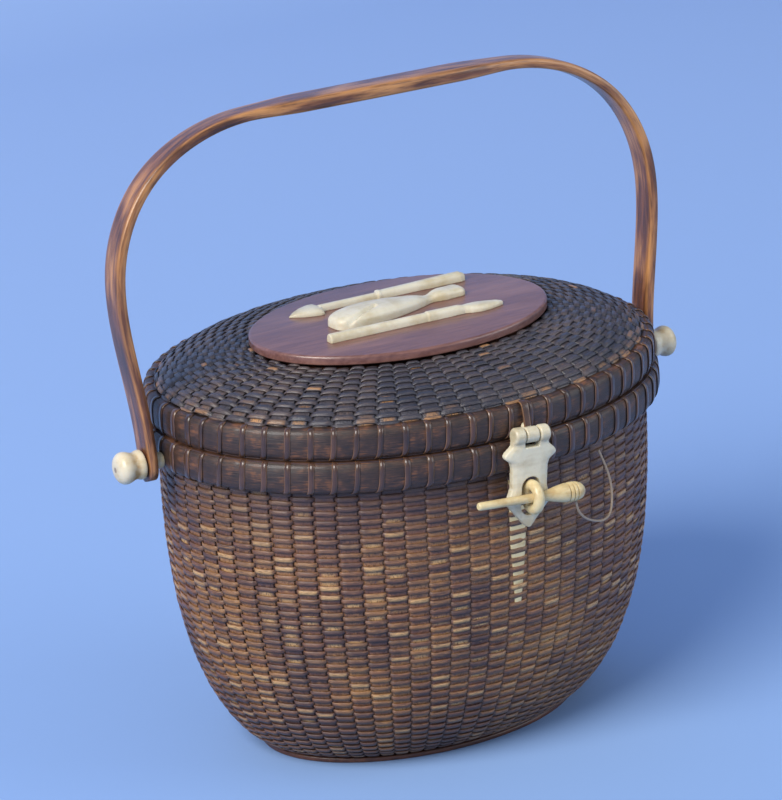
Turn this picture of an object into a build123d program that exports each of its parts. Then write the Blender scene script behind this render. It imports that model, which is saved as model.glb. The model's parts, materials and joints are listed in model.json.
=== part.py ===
from build123d import *

import os
from math import cos, radians, sin

# Oval woven purse with a lid hinged at the back, a bone hasp at the front
# held by a peg through a staple, and a bent wood handle on two bone knobs.
# Millimetres. X runs along the long axis, -Y is the front, +Z is up.
# The origin is the middle of the base plate's underside.

# Rim and body
RIM_LENGTH = 230.0
RIM_WIDTH = 183.0
BODY_HEIGHT = 151.0
FOOT_LENGTH = 144.0
FOOT_WIDTH = 94.0
WEAVE_T = 2.8
HOOP_T = 5.5
HOOP_HEIGHT = 12.6
HOOP_ROUND = 4.4
INNER_HOOP_T = 3.2
INNER_HOOP_DROP = 1.6
CAP_T = 1.0
CAP_INSET = 1.8

# Base plate, turned from one board with a groove round its edge
BASE_EDGE_T = 2.4
BASE_EDGE_OUT = 1.6
BASE_EDGE_ROUND = 0.9
GROOVE_DEPTH = 6.0
BASE_TOP_T = 3.0
PLATE_INSET = 1.2

# Lid
LID_GAP = 0.3
LID_INSET = 1.5
LID_WEAVE_T = 2.6
DOME_RISE = 12.5
PLAQUE_LENGTH = 135.0
PLAQUE_WIDTH = 94.0
PLAQUE_T = 4.0
PLAQUE_ROUND = 1.8
PLAQUE_OVERHANG = 1.5
LID_BOARD_T = 3.0

# Bone carvings glued on the plaque
CARVING_ROUND = 1.2
WHALE_LENGTH = 71.0
WHALE_T = 5.2
WHALE_AT = (0.0, 4.0)
WHALE_TURN = 8.0
HARPOON_LENGTH = 86.0
HARPOON_D = 4.4
HARPOON_AT = (3.0, 23.5)
LANCE_LENGTH = 84.0
LANCE_D = 3.8
LANCE_AT = (0.0, -15.5)
BLADE_T = 2.4

# Handle and its two pivots
HANDLE_RISE = 140.5
HANDLE_SPREAD = 255.0
HANDLE_W = 12.0
HANDLE_T = 4.5
GRIP_W = 14.6
GRIP_T = 6.0
GRIP_LENGTH = 136.0
HANDLE_LEAN = 3.5
PIVOT_DROP = 9.4
PIVOT_D = 4.0
PIVOT_PLAY = 0.05
HANDLE_HOLE_FOOT = 7.0
WASHER_D = 13.8
WASHER_T = 2.1
WASHER_PLAY = 0.2
KNOB_D = 13.8
KNOB_L = 15.6
KNOB_NECK_D = 8.4
KNOB_PLAY = 0.6
PIN_HEAD_D = 8.0
PIN_HEAD_T = 1.6

# Back hinge
HINGE_W = 36.0
HINGE_LEAF_T = 2.4
HINGE_LEAF_H = 10.5
HINGE_KNUCKLE_D = 5.2
HINGE_TONGUE_W = 12.0
HINGE_PIN_D = 2.0
HINGE_SET = 3.2
HINGE_PLAY = 0.15
RIVET_D = 1.8
RIVET_SPAN = 24.0

# Hasp, tilted a little in its own plane
HASP_X = 6.2
HASP_TILT = 4.5
HASP_DROP = 39.2
HASP_RISE = 2.6
HASP_W = 16.4
HASP_WING_W = 24.0
HASP_T = 4.4
HASP_LOW_T = 3.2
HASP_STEP = 17.0
HASP_GAP = 1.2
HASP_BEVEL = 0.9
HASP_KNUCKLE_D = 6.8
HASP_TONGUE_W = 6.2
HASP_PIN_D = 1.6
SLOT_W = 8.5
SLOT_H = 16.5
HASP_LEAF_W = 12.0
HASP_LEAF_T = 2.4
HASP_LEAF_H = 5.0
TIE_W = 3.2
TIE_T = 0.6

# Staple: ring, shank and a long tang woven into the wall
RING_DROP = 25.8
RING_OUTER_D = 14.4
RING_SECTION_D = 4.0
RING_FRONT = 1.3
SHANK_D = 4.2
TANG_T = 2.0
TANG_W = 7.6
TANG_TIP_W = 3.0
TANG_ABOVE = 6.0
TANG_BELOW = 52.0

# Peg through the staple, and its cord
PEG_LENGTH = 50.3
PEG_TAIL = 26.5
PEG_D = 3.8
PEG_THIN_D = 3.4
PEG_NECK_D = 4.2
PEG_HEAD_D = 8.2
PEG_GAP = 0.4
CORD_D = 1.0
CORD_ROUTE = [
    (23.9, -99.4, 121.9),
    (24.6, -99.2, 117.6),
    (29.0, -97.2, 112.6),
    (36.0, -92.6, 108.2),
    (43.4, -88.6, 105.2),
    (49.6, -84.2, 105.4),
    (53.0, -80.6, 110.6),
    (53.2, -79.4, 118.2),
    (50.6, -79.4, 126.4),
    (47.6, -79.6, 133.0),
]

# Worked out from the sizes above
SOFT_EDGE = 0.5
RIM_A = RIM_LENGTH / 2
RIM_B = RIM_WIDTH / 2
WALL_A = RIM_A - HOOP_T
WALL_B = RIM_B - HOOP_T
FOOT_A = FOOT_LENGTH / 2
FOOT_B = FOOT_WIDTH / 2
WALL_TOP = BODY_HEIGHT - CAP_T
RIM_LOW = WALL_TOP - HOOP_HEIGHT
LID_A = WALL_A - LID_INSET
LID_B = WALL_B - LID_INSET
LID_Z = BODY_HEIGHT + LID_GAP
LID_WALL_Z = LID_Z + CAP_T
LID_RIM_TOP = LID_WALL_Z + HOOP_HEIGHT
PLAQUE_A = PLAQUE_LENGTH / 2
PLAQUE_B = PLAQUE_WIDTH / 2
DOME_TOP = LID_RIM_TOP + DOME_RISE
PLAQUE_TOP = DOME_TOP + PLAQUE_T
PIVOT_Z = BODY_HEIGHT - PIVOT_DROP
WASHER_X = RIM_A
HANDLE_X = RIM_A + WASHER_T + WASHER_PLAY + HANDLE_T / 2
KNOB_X = HANDLE_X + HANDLE_T / 2 + KNOB_PLAY
HINGE_Y = RIM_B + HINGE_SET
HINGE_Z = BODY_HEIGHT + LID_GAP / 2
HASP_FRONT_Y = -(RIM_B + HASP_GAP + HASP_T)
HASP_AXIS_Y = HASP_FRONT_Y + HASP_T / 2
HASP_Z = BODY_HEIGHT + HASP_RISE
PEG_Y = HASP_FRONT_Y - PEG_GAP - PEG_D / 2
RING_Y = HASP_FRONT_Y - RING_FRONT
HASP_FRAME = Pos(HASP_X, HASP_AXIS_Y, HASP_Z) * Rot(0, HASP_TILT, 0)
PEG_FRAME = HASP_FRAME * Pos(0, PEG_Y - HASP_AXIS_Y, -RING_DROP)
RING_FRAME = HASP_FRAME * Pos(0, RING_Y - HASP_AXIS_Y, -RING_DROP)


def oval(a, b, z):
    """Oval face of half length a and half width b at height z."""
    return Pos(0, 0, z) * Ellipse(a, b)


def oval_disc(a, b, low, high):
    """Upright oval plate between two heights."""
    return extrude(oval(a, b, low), high - low)


def box_between(low, high):
    """Box from its lowest to its highest corner."""
    size = [h - l for l, h in zip(low, high)]
    middle = [(h + l) / 2 for l, h in zip(low, high)]
    return Pos(*middle) * Box(*size)


def rod_x(diameter, start, end):
    """Round rod along X."""
    middle = (start + end) / 2
    return Pos(middle, 0, 0) * Rot(0, 90, 0) * Cylinder(diameter / 2, end - start)


def rod_y(diameter, start, end):
    """Round rod along Y."""
    middle = (start + end) / 2
    return Pos(0, middle, 0) * Rot(90, 0, 0) * Cylinder(diameter / 2, end - start)


def front_plate(points, thickness):
    """Plate in the XZ plane, as thick as given, centred on Y = 0."""
    face = make_face(Polyline(*[(x, 0, z) for x, z in points], close=True))
    return extrude(face, thickness / 2, dir=(0, 1, 0), both=True)


def both_sides(points):
    """A right half outline closed by its mirror image."""
    return points + [(-x, z) for x, z in reversed(points) if x > 0]


def wall_form(inset, low):
    """Solid of the body's outline: a flat foot that bulges up to the straight rim zone."""
    steps = 12
    ovals = []
    for i in range(steps + 1):
        t = (i / steps) ** 1.8
        bulge = (1 - (1 - t) ** 3) ** (2 / 3)
        a = FOOT_A + (WALL_A - FOOT_A) * bulge - inset
        b = FOOT_B + (WALL_B - FOOT_B) * bulge - inset
        ovals.append(oval(a, b, low + t * (RIM_LOW - low)))
    band = oval_disc(WALL_A - inset, WALL_B - inset, RIM_LOW, WALL_TOP)
    return loft(ovals) + band


def dome_form(inset, drop):
    """Solid of the lid's outline: a straight rim zone under a low dome."""
    power = 1.3
    stations = (0, 0.08, 0.22, 0.4, 0.6, 0.78, 0.92, 1)
    top_a = PLAQUE_A - PLAQUE_OVERHANG
    top_b = PLAQUE_B - PLAQUE_OVERHANG
    ovals = []
    for t in stations:
        reach = (1 - t**power) ** (1 / power)
        a = top_a + (LID_A - top_a) * reach - inset
        b = top_b + (LID_B - top_b) * reach - inset
        ovals.append(oval(a, b, LID_RIM_TOP - drop + t * DOME_RISE))
    band = oval_disc(LID_A - inset, LID_B - inset, LID_WALL_Z, LID_RIM_TOP - drop)
    return loft(ovals) + band


def hoop(inner_a, inner_b, thickness, low, high, rounding):
    """Bent wood hoop with its two outer edges rounded."""
    outer_a = inner_a + thickness
    outer_b = inner_b + thickness
    ring = oval_disc(outer_a, outer_b, low, high)
    ring = fillet(ring.edges(), rounding)
    return ring - oval_disc(inner_a, inner_b, low, high)


def pin_holes(solid, diameter):
    """Bore both handle pins' holes through a solid."""
    bore = Pos(0, 0, PIVOT_Z) * rod_x(diameter, -KNOB_X - KNOB_L, KNOB_X + KNOB_L)
    return solid - bore


def base_plate():
    """One board: a foot flange, a neck the staves butt against, and an upper flange."""
    flange = oval_disc(FOOT_A + BASE_EDGE_OUT, FOOT_B + BASE_EDGE_OUT, 0, BASE_EDGE_T)
    flange = fillet(flange.edges(), BASE_EDGE_ROUND)
    neck_top = BASE_EDGE_T + WEAVE_T
    neck = oval_disc(FOOT_A - GROOVE_DEPTH, FOOT_B - GROOVE_DEPTH, 0, neck_top)
    top_a = FOOT_A - WEAVE_T - PLATE_INSET
    top_b = FOOT_B - WEAVE_T - PLATE_INSET
    return flange + neck + oval_disc(top_a, top_b, neck_top, neck_top + BASE_TOP_T)


def tang_zone():
    """Skin of the wall, as deep as the staple's tang, cut to the tang's taper."""
    top = HASP_Z - RING_DROP + TANG_ABOVE
    tip = HASP_Z - RING_DROP - TANG_BELOW
    x = ring_x()
    outline = [
        (x - TANG_W / 2, top),
        (x + TANG_W / 2, top),
        (x + TANG_W / 2, (top + tip) / 2),
        (x + TANG_TIP_W / 2, tip),
        (x - TANG_TIP_W / 2, tip),
        (x - TANG_W / 2, (top + tip) / 2),
    ]
    front = Pos(0, -RIM_B / 2, 0) * front_plate(outline, RIM_B)
    return front & (wall_form(0, BASE_EDGE_T) - wall_form(TANG_T, BASE_EDGE_T))


def ring_x():
    """X of the ring's middle."""
    return HASP_X - RING_DROP * sin(radians(HASP_TILT))


def body_weave(tang):
    """The woven wall and floor edge as one closed shell with the real opening."""
    shell = wall_form(0, BASE_EDGE_T) - wall_form(WEAVE_T, BASE_EDGE_T + WEAVE_T)
    neck = oval_disc(FOOT_A - GROOVE_DEPTH, FOOT_B - GROOVE_DEPTH, 0, BASE_EDGE_T + WEAVE_T)
    return pin_holes(shell - neck, PIVOT_D) - tang


def lid_weave():
    """The woven dome as one closed shell, open below and under the plaque."""
    shell = dome_form(0, 0) - dome_form(LID_WEAVE_T, LID_WEAVE_T)
    neck_a = PLAQUE_A - PLAQUE_OVERHANG - LID_WEAVE_T - GROOVE_DEPTH
    neck_b = PLAQUE_B - PLAQUE_OVERHANG - LID_WEAVE_T - GROOVE_DEPTH
    return shell - oval_disc(neck_a, neck_b, LID_RIM_TOP, DOME_TOP)


def lid_board():
    """Board inside the lid, with a neck through the weave up to the plaque."""
    neck_low = DOME_TOP - LID_WEAVE_T
    flange_a = PLAQUE_A - PLAQUE_OVERHANG - LID_WEAVE_T - PLATE_INSET
    flange_b = PLAQUE_B - PLAQUE_OVERHANG - LID_WEAVE_T - PLATE_INSET
    neck_a = PLAQUE_A - PLAQUE_OVERHANG - LID_WEAVE_T - GROOVE_DEPTH
    neck_b = PLAQUE_B - PLAQUE_OVERHANG - LID_WEAVE_T - GROOVE_DEPTH
    flange = oval_disc(flange_a, flange_b, neck_low - LID_BOARD_T, neck_low)
    return flange + oval_disc(neck_a, neck_b, neck_low, DOME_TOP)


def lid_plaque():
    """Oval board on top of the lid with a rounded edge."""
    board = oval_disc(PLAQUE_A, PLAQUE_B, DOME_TOP, PLAQUE_TOP)
    return fillet(board.edges().group_by(Axis.Z)[-1], PLAQUE_ROUND)


def whale():
    """Flat carved whale: blunt head at -X, tail fluke at +X."""
    half = WHALE_LENGTH / 2
    outline = Spline(
        (-half, -3.5),
        (-half + 8, -7.6),
        (-half + 26, -8.6),
        (-half + 46, -5.4),
        (half - 11, -2.0),
    )
    back = Spline(
        (half - 11, 2.0),
        (-half + 46, 6.4),
        (-half + 26, 8.8),
        (-half + 8, 7.0),
        (-half, 3.0),
    )
    fluke = Polyline(
        (half - 11, -2.0), (half - 3, -6.0), (half, -5.0), (half - 2.5, 0),
        (half, 5.0), (half - 3, 6.0), (half - 11, 2.0),
    )
    face = make_face(outline + fluke + back + Line(back @ 1, outline @ 0))
    body = extrude(face, WHALE_T)
    body = chamfer(body.edges().group_by(Axis.Z)[-1], CARVING_ROUND)
    return Pos(*WHALE_AT, PLAQUE_TOP) * Rot(0, 0, WHALE_TURN) * body


def leaf_blade(length, width):
    """Pointed blade along X from the origin, flat underneath."""
    points = [(0, 0), (length * 0.3, width / 2), (length, 0), (length * 0.3, -width / 2)]
    return extrude(make_face(Polyline(*points, close=True)), BLADE_T)


def flat_rod(diameter, start, end):
    """Rod along X lying on the plaque with a narrow flat underneath."""
    flat = 0.15 * diameter
    rod = Pos(0, 0, diameter / 2 - flat) * rod_x(diameter, start, end)
    return rod & box_between((start, -diameter, 0), (end, diameter, diameter))


def harpoon():
    """Carved harpoon: barbed blade at -X, thin shank, thicker socket at +X."""
    half = HARPOON_LENGTH / 2
    blade = Pos(-half + 15, 0, 0) * Rot(0, 0, 180) * leaf_blade(15, 12)
    shank = flat_rod(HARPOON_D * 0.75, -half + 8, 3)
    socket = flat_rod(HARPOON_D, 2, half)
    return Pos(*HARPOON_AT, PLAQUE_TOP) * (blade + shank + socket)


def lance():
    """Carved lance: square butt at -X, leaf blade at +X."""
    half = LANCE_LENGTH / 2
    shaft = flat_rod(LANCE_D, -half, half - 12)
    blade = Pos(half - 18, 0, 0) * leaf_blade(18, 8)
    return Pos(*LANCE_AT, PLAQUE_TOP) * (shaft + blade)


def handle():
    """Bent strap: side outline between two curves, cut to its width seen from above."""
    span = HANDLE_SPREAD / 2
    side = [(span, 0.52), (span * 0.925, 0.77), (span * 0.72, 0.925), (span * 0.4, 0.985)]
    knots = [(HANDLE_X, 0), (HANDLE_X + 3.4, 25)]
    knots += [(x, HANDLE_RISE * share) for x, share in side]
    arch = knots + [(0, HANDLE_RISE)] + [(-x, z) for x, z in reversed(knots)]
    line = Spline(
        *[(x, 0, z) for x, z in arch],
        tangents=[(0, 0, 1), (0, 0, -1)],
    )
    outer = []
    inner = []
    steps = 40
    for i in range(steps + 1):
        at = line @ (i / steps)
        along = line % (i / steps)
        grip = 1 / (1 + (at.X / (GRIP_LENGTH / 2)) ** 6)
        half_t = (HANDLE_T + (GRIP_T - HANDLE_T) * grip) / 2
        outer.append((at.X + along.Z * half_t, 0, at.Z - along.X * half_t))
        inner.append((at.X - along.Z * half_t, 0, at.Z + along.X * half_t))
    outer_line = Spline(*outer)
    inner_line = Spline(*reversed(inner))
    face = make_face(
        outer_line + Line(outer[-1], inner[-1]) + inner_line + Line(inner[0], outer[0])
    )
    strap = extrude(face, GRIP_W, dir=(0, 1, 0), both=True)
    strap = strap & handle_plan()
    for side_x in (-1, 1):
        foot = Pos(side_x * HANDLE_X, 0, 0) * rod_x(HANDLE_W, -HANDLE_T / 2, HANDLE_T / 2)
        drop = box_between(
            (-HANDLE_T / 2, -HANDLE_W / 2, HANDLE_W / 2 - HANDLE_HOLE_FOOT),
            (HANDLE_T / 2, HANDLE_W / 2, SOFT_EDGE),
        )
        foot = Pos(0, 0, HANDLE_W / 2 - HANDLE_HOLE_FOOT) * foot
        strap = strap + foot + Pos(side_x * HANDLE_X, 0, 0) * drop
    strap = strap - rod_x(PIVOT_D + 2 * PIVOT_PLAY, -HANDLE_SPREAD, HANDLE_SPREAD)
    return Pos(0, 0, PIVOT_Z) * Rot(-HANDLE_LEAN, 0, 0) * strap


def handle_plan():
    """Upright prism of the handle seen from above: narrow at the legs, wider at the grip."""
    end = HANDLE_SPREAD
    wide = GRIP_LENGTH / 2
    edge = Spline(
        (-wide - 26, HANDLE_W / 2),
        (-wide + 6, GRIP_W / 2 - SOFT_EDGE),
        (0, GRIP_W / 2),
        (wide - 6, GRIP_W / 2 - SOFT_EDGE),
        (wide + 26, HANDLE_W / 2),
        tangents=[(1, 0), (1, 0)],
    )
    back = Line((-end, HANDLE_W / 2), edge @ 0) + edge + Line(edge @ 1, (end, HANDLE_W / 2))
    front = mirror(back, Plane.XZ)
    ends = Line((-end, -HANDLE_W / 2), (-end, HANDLE_W / 2))
    ends += Line((end, -HANDLE_W / 2), (end, HANDLE_W / 2))
    face = make_face(back + front + ends)
    return Pos(0, 0, -HANDLE_RISE) * extrude(face, 3 * HANDLE_RISE)


def knob():
    """Turned knob on +X: flared collar at the handle, narrow neck, round end."""
    r = KNOB_D / 2
    neck = KNOB_NECK_D / 2
    profile = make_face(
        Polyline((0, 0), (0, r - 0.4), (2.0, r - 1.0), (4.4, neck))
        + Spline((4.4, neck), (8.0, r), (KNOB_L - 1.6, r - 1.6), (KNOB_L, 0), tangents=[(1, 0), (0, -1)])
        + Line((KNOB_L, 0), (0, 0))
    )
    turned = revolve(profile, Axis.X)
    return Pos(KNOB_X, 0, PIVOT_Z) * turned


def handle_pin():
    """Pin on +X from its head inside the rim to the knob's middle."""
    start = WALL_A - WEAVE_T - INNER_HOOP_T - PIN_HEAD_T
    head = rod_x(PIN_HEAD_D, start, start + PIN_HEAD_T - 0.15)
    shaft = rod_x(PIVOT_D, start, KNOB_X + KNOB_L / 2)
    return Pos(0, 0, PIVOT_Z) * (head + shaft)


def washer():
    """Bone washer on +X between the rim and the handle."""
    disc = rod_x(WASHER_D, WASHER_X, WASHER_X + WASHER_T)
    return Pos(0, 0, PIVOT_Z) * (disc - rod_x(PIVOT_D, 0, HANDLE_SPREAD))


def hinge_leaf(is_lid, rim):
    """Bone leaf against a rim hoop, with its knuckles round the back hinge's pin."""
    r = HINGE_KNUCKLE_D / 2
    sign = 1 if is_lid else -1
    near = r + 0.4
    back = HINGE_Y - HINGE_KNUCKLE_D / 2
    low = min(sign * near, sign * (near + HINGE_LEAF_H))
    high = max(sign * near, sign * (near + HINGE_LEAF_H))
    leaf = box_between(
        (-HINGE_W / 2, RIM_B - HOOP_T, HINGE_Z + low),
        (HINGE_W / 2, RIM_B + HINGE_LEAF_T, HINGE_Z + high),
    )
    if is_lid:
        leaf = Pos(0, -LID_INSET, 0) * leaf
    tongue = HINGE_TONGUE_W / 2 - HINGE_PLAY / 2
    fork = HINGE_TONGUE_W / 2 + HINGE_PLAY / 2
    spans = [(-tongue, tongue)] if is_lid else [(-HINGE_W / 2, -fork), (fork, HINGE_W / 2)]
    hinge = leaf
    for start, end in spans:
        knuckle = Pos(0, HINGE_Y, HINGE_Z) * rod_x(HINGE_KNUCKLE_D, start, end)
        web = box_between(
            (start, back - LID_INSET * is_lid, HINGE_Z + min(0, sign * near)),
            (end, HINGE_Y, HINGE_Z + max(0, sign * near)),
        )
        hinge = hinge + knuckle + web
    bore = Pos(0, HINGE_Y, HINGE_Z) * rod_x(HINGE_PIN_D + 2 * PIVOT_PLAY * is_lid, -HINGE_W, HINGE_W)
    return hinge - bore - rim


def hinge_pin():
    """Brass pin of the back hinge."""
    return Pos(0, HINGE_Y, HINGE_Z) * rod_x(HINGE_PIN_D, -HINGE_W / 2, HINGE_W / 2)


def hinge_rivets(is_lid):
    """Two brass rivets through a back hinge leaf into its hoop."""
    sign = 1 if is_lid else -1
    inset = LID_INSET if is_lid else 0
    z = HINGE_Z + sign * (HINGE_KNUCKLE_D / 2 + HINGE_LEAF_H / 2)
    out = RIM_B + HINGE_LEAF_T - inset
    rivet = rod_y(RIVET_D, out - HINGE_LEAF_T - HOOP_T / 2, out + 0.4)
    pair = [Pos(x, 0, z) * rivet for x in (-RIVET_SPAN / 2, RIVET_SPAN / 2)]
    return Compound(children=pair)


def hasp():
    """Bone hasp plate: two knuckles, pointed wings, slot, pointed foot, thinner below."""
    half = HASP_W / 2
    wing = HASP_WING_W / 2
    outline = both_sides([
        (half, 0),
        (half, -2.4),
        (wing, -5.6),
        (wing - 0.5, -7.0),
        (half - 0.2, -10.4),
        (half - 0.3, -HASP_DROP * 0.57),
        (half + 0.9, -HASP_DROP * 0.71),
        (half + 0.3, -HASP_DROP * 0.745),
        (1.2, -HASP_DROP),
    ])
    plate = front_plate(outline, HASP_T)
    front_edges = plate.edges().group_by(Axis.Y)[0]
    plate = chamfer(front_edges.filter_by(lambda e: e.center().Z < -1), HASP_BEVEL)
    r = HASP_KNUCKLE_D / 2
    fork = HASP_TONGUE_W / 2 + HINGE_PLAY
    ears = rod_x(HASP_KNUCKLE_D, -half, half)
    relief = box_between(
        (-wing, HASP_T / 2 - (HASP_T - HASP_LOW_T), -HASP_DROP - 1),
        (wing, HASP_T, -HASP_STEP),
    )
    notch = box_between((-fork, -2 * r, -r - 1.2), (fork, 2 * r, 2 * r))
    slot = Pos(0, 0, -RING_DROP) * Rot(90, 0, 0) * extrude(
        Rot(0, 0, 90) * SlotOverall(SLOT_H, SLOT_W), HASP_T, both=True
    )
    bore = rod_x(HASP_PIN_D, -HASP_W, HASP_W)
    return HASP_FRAME * (plate + ears - relief - notch - slot - bore)


def hasp_pin():
    """Pin of the hasp's hinge."""
    return HASP_FRAME * rod_x(HASP_PIN_D, -HASP_W / 2, HASP_W / 2)


def hasp_leaf(rim):
    """Small bone leaf on the lid's rim whose knuckle carries the hasp."""
    r = HASP_KNUCKLE_D / 2
    tongue = HASP_TONGUE_W / 2
    rim_y = HOOP_T + LID_B + HASP_AXIS_Y
    low = r + 0.5
    plate = box_between(
        (-HASP_LEAF_W / 2, -rim_y - HASP_LEAF_T, low),
        (HASP_LEAF_W / 2, -rim_y + HOOP_T, low + HASP_LEAF_H),
    )
    neck = box_between((-tongue, 0, 0), (tongue, -rim_y + HOOP_T, low + SOFT_EDGE))
    knuckle = rod_x(HASP_KNUCKLE_D, -tongue, tongue)
    bore = rod_x(HASP_PIN_D + 2 * PIVOT_PLAY, -HASP_W, HASP_W)
    return HASP_FRAME * (plate + neck + knuckle - bore) - rim


def lid_hoop(extra):
    """Outer hoop of the lid, or with extra, the same hoop grown by that much."""
    return hoop(
        LID_A,
        LID_B,
        HOOP_T + extra,
        LID_WALL_Z - extra,
        LID_RIM_TOP + extra,
        HOOP_ROUND + extra,
    )


def hasp_tie(rim):
    """Cane strip from the leaf's top over the lid's outer hoop."""
    low = HASP_Z + HASP_KNUCKLE_D / 2 + 0.5 + HASP_LEAF_H
    x = HASP_X + (low - HASP_Z) * sin(radians(HASP_TILT))
    window = box_between(
        (x - TIE_W / 2, -RIM_B - HOOP_T, low + SOFT_EDGE),
        (x + TIE_W / 2, -LID_B, LID_RIM_TOP + TIE_T),
    )
    return (lid_hoop(TIE_T) & window) - rim


def staple(tang):
    """Ring in front of the hasp, shank through the slot, and tang in the wall."""
    section = Pos(0, RING_OUTER_D / 2 - RING_SECTION_D / 2, 0) * Circle(RING_SECTION_D / 2)
    ring = RING_FRAME * revolve(section, Axis.X)
    wall_y = -WALL_B + TANG_T / 2
    start = RING_OUTER_D / 2 - RING_SECTION_D / 2
    shank = RING_FRAME * rod_y(SHANK_D, start, wall_y - RING_Y)
    inside = wall_form(TANG_T / 2, BASE_EDGE_T)
    return ring + (shank - inside) + tang


def peg():
    """Turned peg along X: thin tail, shaft through the ring, cone and grooved head."""
    thin = PEG_THIN_D / 2
    shaft = PEG_D / 2
    neck = PEG_NECK_D / 2
    head = PEG_HEAD_D / 2
    end = PEG_LENGTH - PEG_TAIL
    ring = head - 0.4
    lower = Polyline(
        (-PEG_TAIL, 0), (-PEG_TAIL, thin - SOFT_EDGE), (-PEG_TAIL + SOFT_EDGE, thin), (0, shaft),
        (end - 14.8, neck), (end - 13.4, neck + 0.8), (end - 10.6, head - 0.3),
        (end - 8.6, head - 0.1), (end - 8.2, ring), (end - 7.6, head), (end - 6.8, head),
        (end - 6.4, ring), (end - 6.0, head), (end - 4.6, head), (end - 4.2, ring), (end - 3.8, head - 0.2),
    )
    tip = Spline((end - 3.8, head - 0.2), (end - 1.0, head * 0.62), (end, 0), tangents=[(1, 0), (0, -1)])
    profile = make_face(lower + tip + Line((end, 0), (-PEG_TAIL, 0)))
    return PEG_FRAME * revolve(profile, Axis.X)


def peg_cord():
    """Thin cord from under the peg's head to the weave just under the rim."""
    points = [Vector(*p) for p in CORD_ROUTE]
    radii = []
    for before, at, after in zip(points, points[1:], points[2:]):
        turn = (at - before).get_angle(after - at)
        run = min((at - before).length, (after - at).length)
        radii.append(0.45 * run / tan_half(turn))
    path = FilletPolyline(*points, radius=radii)
    print("cord radii", [round(r, 1) for r in radii], "length", round(path.length, 1))
    start = Plane(origin=path @ 0, z_dir=path % 0)
    return sweep(start * Circle(CORD_D / 2), path=path)


def tan_half(turn):
    """Tangent of half an angle in degrees."""
    half = radians(turn) / 2
    return sin(half) / cos(half)


def build():
    """Every sub-part by its node's name."""
    tang = tang_zone()
    outer = hoop(WALL_A, WALL_B, HOOP_T, RIM_LOW, WALL_TOP, HOOP_ROUND)
    inner_a = WALL_A - WEAVE_T - INNER_HOOP_T
    inner_b = WALL_B - WEAVE_T - INNER_HOOP_T
    inner = oval_disc(inner_a + INNER_HOOP_T, inner_b + INNER_HOOP_T, RIM_LOW + INNER_HOOP_DROP, WALL_TOP)
    inner = inner - oval_disc(inner_a, inner_b, RIM_LOW, WALL_TOP)
    cap = oval_disc(RIM_A - CAP_INSET, RIM_B - CAP_INSET, WALL_TOP, BODY_HEIGHT)
    cap = cap - oval_disc(inner_a, inner_b, WALL_TOP, BODY_HEIGHT)
    lid_outer = lid_hoop(0)
    lid_in_a = LID_A - LID_WEAVE_T - INNER_HOOP_T
    lid_in_b = LID_B - LID_WEAVE_T - INNER_HOOP_T
    lid_in_top = LID_RIM_TOP - LID_WEAVE_T - INNER_HOOP_DROP
    lid_inner = oval_disc(lid_in_a + INNER_HOOP_T, lid_in_b + INNER_HOOP_T, LID_WALL_Z, lid_in_top)
    lid_inner = lid_inner - oval_disc(lid_in_a, lid_in_b, LID_WALL_Z, lid_in_top)
    lid_cap = oval_disc(LID_A + HOOP_T - CAP_INSET, LID_B + HOOP_T - CAP_INSET, LID_Z, LID_WALL_Z)
    lid_cap = lid_cap - oval_disc(lid_in_a, lid_in_b, LID_Z, LID_WALL_Z)
    body_rivets = hinge_rivets(False)
    lid_rivets = hinge_rivets(True)
    parts = {
        "base_plate": base_plate(),
        "body_weave": body_weave(tang),
        "body_rim_outer": pin_holes(outer, PIVOT_D) - body_rivets,
        "body_rim_inner": pin_holes(inner, PIVOT_D),
        "body_rim_cap": cap,
        "lid_weave": lid_weave(),
        "lid_rim_outer": lid_outer - lid_rivets,
        "lid_rim_inner": lid_inner,
        "lid_rim_cap": lid_cap,
        "lid_board": lid_board(),
        "lid_plaque": lid_plaque(),
        "carved_whale": whale(),
        "carved_harpoon": harpoon(),
        "carved_lance": lance(),
        "hinge_leaf_body": hinge_leaf(False, outer) - body_rivets,
        "hinge_leaf_lid": hinge_leaf(True, lid_outer) - lid_rivets,
        "hinge_pin": hinge_pin(),
        "hinge_rivets_body": body_rivets,
        "hinge_rivets_lid": lid_rivets,
        "hasp": hasp(),
        "hasp_pin": hasp_pin(),
        "hasp_leaf": hasp_leaf(lid_outer),
        "hasp_tie": hasp_tie(lid_outer),
        "staple": staple(tang),
        "peg": peg(),
        "peg_cord": peg_cord(),
        "handle": handle(),
    }
    pin_bore = Pos(0, 0, PIVOT_Z) * rod_x(PIVOT_D, -KNOB_X - KNOB_L / 2, KNOB_X + KNOB_L / 2)
    right = {"handle_pin": handle_pin(), "washer": washer(), "knob": knob() - pin_bore}
    for name, solid in right.items():
        parts[name + "_r"] = solid
        parts[name + "_l"] = mirror(solid, Plane.YZ)
    return parts


os.makedirs("parts", exist_ok=True)
for node, solid in build().items():
    export_step(solid, os.path.join("parts", node + ".step"))
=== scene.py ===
import json
from math import cos, pi, radians, sin

import bmesh
import bpy
import numpy as np
from bpy.props import FloatProperty, FloatVectorProperty, IntProperty, PointerProperty
from mathutils import Matrix, Vector

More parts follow.
